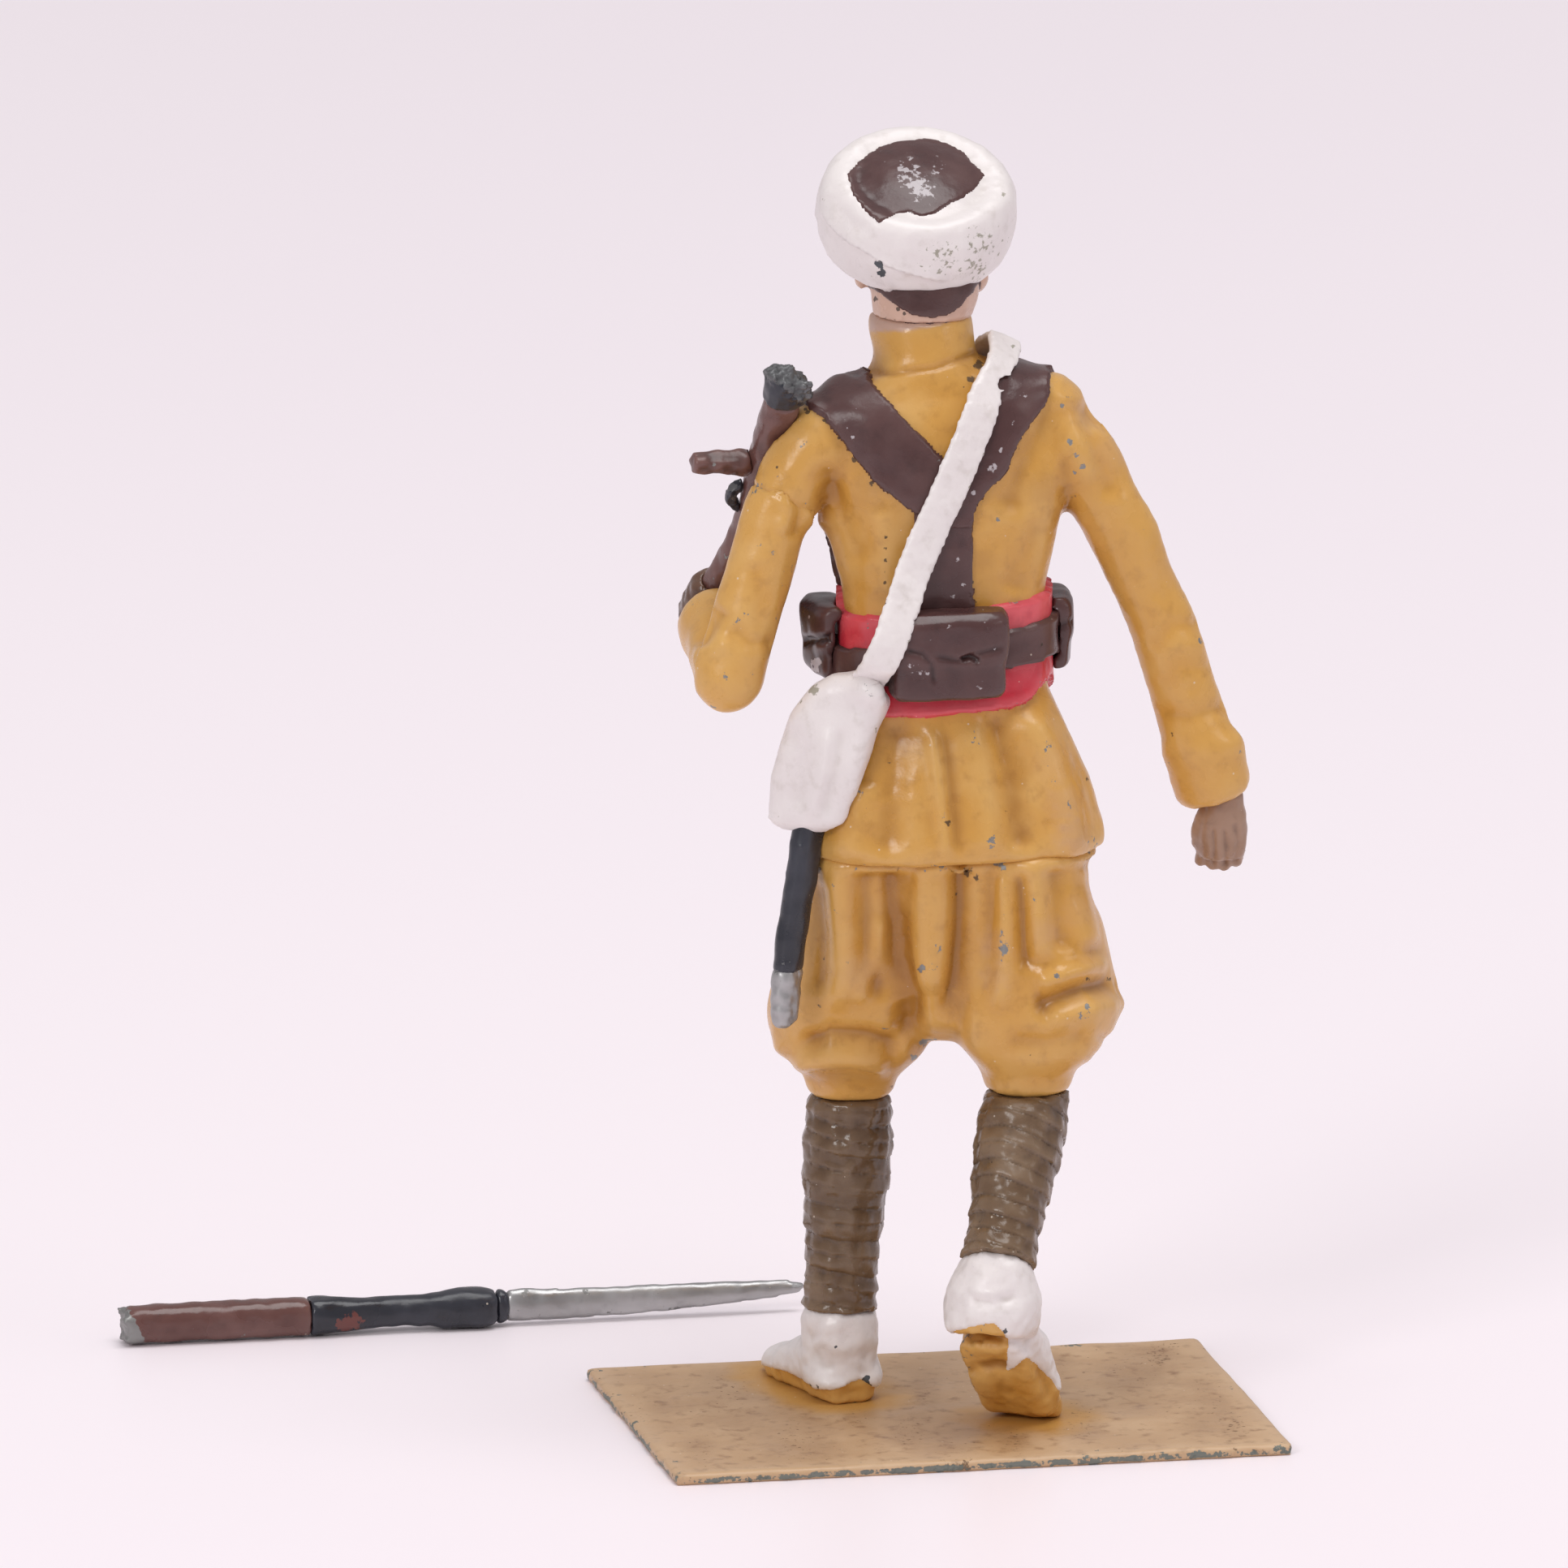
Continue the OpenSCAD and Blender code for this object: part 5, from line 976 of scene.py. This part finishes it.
# Worn spots, pits, and painted highlights in the second paint.
breeches.dab("bare", BREECHES_WEAR).dab("soil", BREECHES_PITS).dab("second", BREECHES_PAINTED_HIGHLIGHTS)
piece(dressed(breeches, 0.06, 2.0, 15.0, 0.24, 1.0), ochre, "breeches")
PUTTEE_PITCH, PUTTEE_T = 0.74, 0.1
for side, outline, seed in (("left", LEFT_GAITER, 16.0), ("right", RIGHT_GAITER, 17.0)):
    leg = wound(casting(0.19, 13, side + "_puttee"), PUTTEE_PITCH, PUTTEE_T, seed)
    piece(dressed(leg, 0.07, 0.55, seed, 0.1), puttee, side + "_puttee")
    foot = casting(0.21, 6, side + "_shoe", side + "_gaiter")
    foot.swell(SHOE_SHAPE).crease(SHOE_LINES).uneven((0.09, 1.0, seed), (0.04, 0.4, seed))
    edge = foot.near(side + "_gaiter", limit=2.0) - foot.near(side + "_shoe", limit=2.0)
    hidden = foot.blur((edge + 0.18 * rough(foot.points, 0.6, seed) < 0.0).astype(float), 4)
    seen = smoothstep(-0.55, -0.25, foot.normals() @ BACK)
    share = foot.blur(seen * outlined(foot, outline, seed) + (1.0 - seen) * hidden, 3)
    gaiter = foot.shell(share, 0.07)
    gaiter.weather(14).dab("bare", GAITER_CHIPS)
    piece(gaiter, white, side + "_gaiter")
    piece(foot.weather(), ochre, side + "_shoe")

# Arms' ends and head

# The left hand takes the darker, shaded copy of the flesh paint.
for side, paint in (("left", shaded_left_hand), ("right", hand_flesh)):
    hand = casting(0.13, 3, side + "_hand").crease(HAND_LINES)
    piece(dressed(hand, 0.04, 0.5, 19.0), paint, side + "_hand")

head = casting(0.13, 6, "head").swell(NECK_SHAPE).crease(FACE_LINES, front_flat, FRONT, 1.0)
seen = head.facing(BACK)
share = seen * outlined(head, HAIR_LINE, 20.0) + (1.0 - seen) * head.covered("hair")
piece(head.shell(share, 0.1).weather(14), hair, "hair")
head.weather().dab("soil", NECK_SPECKS)
in_front = head.facing(FRONT)
face = front_flat(head.points) - (FACE_X, CHIN_Z)
for side in (-1, 1):
    eye = face - (side * EYE_X, EYE_K * FACE_L)
    head.mark("eye_white", smoothstep(1.1, 0.85, np.hypot(*(eye / EYE_HALF).T)) * in_front)
    head.mark("second", smoothstep(0.19, 0.14, np.hypot(*eye.T)) * in_front)
for _, _, width, line in (face_line(ridge, 1, 0.1, (0.42, 0.55), (1.0, 0.575), (1.7, 0.54))
                          + face_line(ridge, 1, 0.05, (0.56, 0.485), (1.0, 0.502), (1.46, 0.48))):
    gap = stroke(line, front_flat(head.points))[0]
    head.mark("second", smoothstep(width * 1.3, width * 0.8, gap) * in_front)
mouth = (face - (0.0, MOUTH_K * FACE_L)) / MOUTH_HALF
head.mark("lip", 0.8 * smoothstep(1.05, 0.7, np.hypot(*mouth.T)) * in_front)
piece(head, flesh, "head")

turban = casting(0.24, 14, "turban", "turban_cap").crease(TURBAN_FOLDS)
turban.crease(TURBAN_FRONT, front_flat, FRONT, 1.0)
turban.uneven((0.05, 1.6, 20.0), (0.015, 0.5, 20.5))
cap_share = outlined(turban, CAP_OUTLINE, 21.0, 0.12) * turban.facing(BACK)
cap = turban.shell(cap_share, 0.05).weather(14).dab("second", CAP_WEAR)
piece(cap, leather, "turban_cap")
turban.weather(deep=0.2).dab("soil", TURBAN_DARK_SPECKS).dab("bare", TURBAN_CHIPS)
piece(turban, white, "turban")

# Rifle

stock = casting(0.17, 3, "rifle_stock")
piece(dressed(stock, 0.07, 0.7, 22.0), rifle_brown, "rifle_stock")
rifle_top = casting(0.11, 3, "rifle_band")
BREAK_WAY = 0.8 * UP + 0.6 * RIGHT
BREAK_CUT = 0.55
BREAK_ROUGH = (1.7, 0.9)
reach = rifle_top.points @ BREAK_WAY
short = reach.max() - reach
rifle_top.points = rifle_top.points - 0.8 * np.maximum(BREAK_CUT - short, 0.0)[:, None] * BREAK_WAY
broken = smoothstep(*BREAK_ROUGH, short)
lumps = grain(rifle_top.points, 0.45, 23.0)
rifle_top.push(broken * (0.05 + 0.3 * lumps)).mark("bare", broken)
rifle_top.mark("soil", broken * smoothstep(0.25, -0.2, lumps))
piece(dressed(rifle_top, 0.03, 0.5, 24.0), gunmetal, "rifle_band")
SMALL_SHADE = 0.6
MAGAZINE_CHIPS = [
    (842, 570, 8, 0.9), (850, 580, 5, 0.8), (900, 600, 8, 0.8), (906, 614, 6, 0.8), (880, 572, 4, 0.6),
]
for node, paint in (("rifle_magazine", rifle_brown), ("trigger_guard", gunmetal)):
    small = casting(0.11, 3, node)
    small.dab("bare", MAGAZINE_CHIPS).mark("hollow", SMALL_SHADE)
    piece(dressed(small, 0.09, 0.5, 25.0), paint, node)
FORE_END_WEAR = [
    (160, 1640, 14, 0.8), (172, 1655, 10, 0.7), (237, 1644, 16, 0.32), (277, 1635, 14, 0.28),
    (306, 1644, 16, 0.34), (341, 1635, 14, 0.3), (364, 1646, 12, 0.34),
]
# A painted highlight on the nose cap, in the second paint.
NOSE_PAINTED_HIGHLIGHT = [(436, 1629, 16, 0.7), (420, 1634, 10, 0.6)]
BLADE_GROWTH = 0.13
for node, paint in (("fore_end", rifle_brown), ("nose_cap", gunmetal), ("bayonet_guard", gunmetal),
                    ("bayonet_blade", silver)):
    loose = casting(0.16, 2, node).dab("bare", FORE_END_WEAR).dab("second", NOSE_PAINTED_HIGHLIGHT)
    loose.push(BLADE_GROWTH if node == "bayonet_blade" else 0.0)
    snapped = smoothstep(0.9, 0.2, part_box("fore_end")[1].x / MM - loose.points[:, 0])
    loose.push(snapped * 0.12 * grain(loose.points, 0.4, 26.5)).mark("bare", 0.8 * snapped)
    loose = dressed(loose, 0.06, 0.7, 26.0)
    loose.points[:, 2] = np.maximum(loose.points[:, 2], 0.0)
    piece(loose, paint, node, body="broken_rifle")

# Base plate, with its paint worn off along the edge

plate = Skin.over(0.2, "base_plate").smooth(2)
HALO = (2.2, 0.4)
from_shoes = plate.near("left_shoe", "right_shoe", limit=3.0)
halo = smoothstep(*HALO, from_shoes + 0.5 * rough(plate.points, 1.0, 27.0))
plate.mark("second", 0.85 * halo).dab("soil", BASE_SMUDGES).dab("hollow", BASE_SMUDGES)
upright = smoothstep(0.75, 0.45, np.abs(plate.normals()[:, 2]))
plate.mark("bare", upright * (0.62 + 0.4 * grain(plate.points, 1.1, 28.0)))
plate.mark("soil", upright * (0.3 + 0.4 * grain(plate.points, 0.5, 29.0)))
plate.push(0.05 * rough(plate.points, 2.5, 28.0) + 0.06 * upright * grain(plate.points, 0.9, 30.0)).weather()
plate.points[:, 2] = np.maximum(plate.points[:, 2], 0.0)
piece(plate, ground, "base_plate")

# Floor, light and camera

FLOOR_SIZE = 4.0
half = FLOOR_SIZE / 2
floor_mesh = bpy.data.meshes.new("floor")
floor_corners = [(-half, -half, 0), (half, -half, 0), (half, half, 0), (-half, half, 0)]
floor_mesh.from_pydata(floor_corners, [], [(0, 1, 2, 3)])
floor = bpy.data.objects.new("floor", floor_mesh)
scene.collection.objects.link(floor)
floor_paint = Paint("floor")
floor_colour = floor_paint.blend(floor_paint.noise(6, 2), (250, 241, 247), (253, 245, 249))
floor_paint.feed(floor_paint.shader.inputs["Base Color"], floor_colour)
floor_paint.feed(floor_paint.shader.inputs["Roughness"], 0.4)
floor_mesh.materials.append(floor_paint.material)

world = bpy.data.worlds.new("studio")
world.use_nodes = True
world.node_tree.nodes["Background"].inputs["Color"].default_value = srgb(250, 244, 248)
world.node_tree.nodes["Background"].inputs["Strength"].default_value = 0.5
scene.world = world


def lamp(name, place, size, power):
    """Square soft box that shines at the figure."""
    light = bpy.data.lights.new(name, "AREA")
    light.size = size
    light.energy = power
    made = bpy.data.objects.new(name, light)
    made.location = place
    made.rotation_euler = (Vector(TARGET) * MM - Vector(place)).to_track_quat("-Z", "Y").to_euler()
    scene.collection.objects.link(made)


lamp("overhead", (-0.1, 0.1, 0.9), 0.6, 4.6)
lamp("right_box", (-0.7, 0.5, 0.5), 0.3, 0.5)
lamp("left_box", (0.6, 0.6, 0.5), 0.3, 2.2)

camera_data = bpy.data.cameras.new("camera")
camera_data.sensor_width = SENSOR
camera_data.lens = SENSOR * DISTANCE * PIXELS_PER_MM / IMAGE
camera_data.clip_end = 100
camera = bpy.data.objects.new("camera", camera_data)
centre = TARGET + RIGHT * (IMAGE / 2 - TARGET_PIXEL[0]) / PIXELS_PER_MM
centre = centre + UP * (TARGET_PIXEL[1] - IMAGE / 2) / PIXELS_PER_MM
viewpoint = TARGET + BACK * DISTANCE
camera.location = Vector(viewpoint * MM)
camera.rotation_euler = Vector(centre - viewpoint).to_track_quat("-Z", "Y").to_euler()
scene.collection.objects.link(camera)
scene.camera = camera
scene.view_settings.view_transform = "Standard"
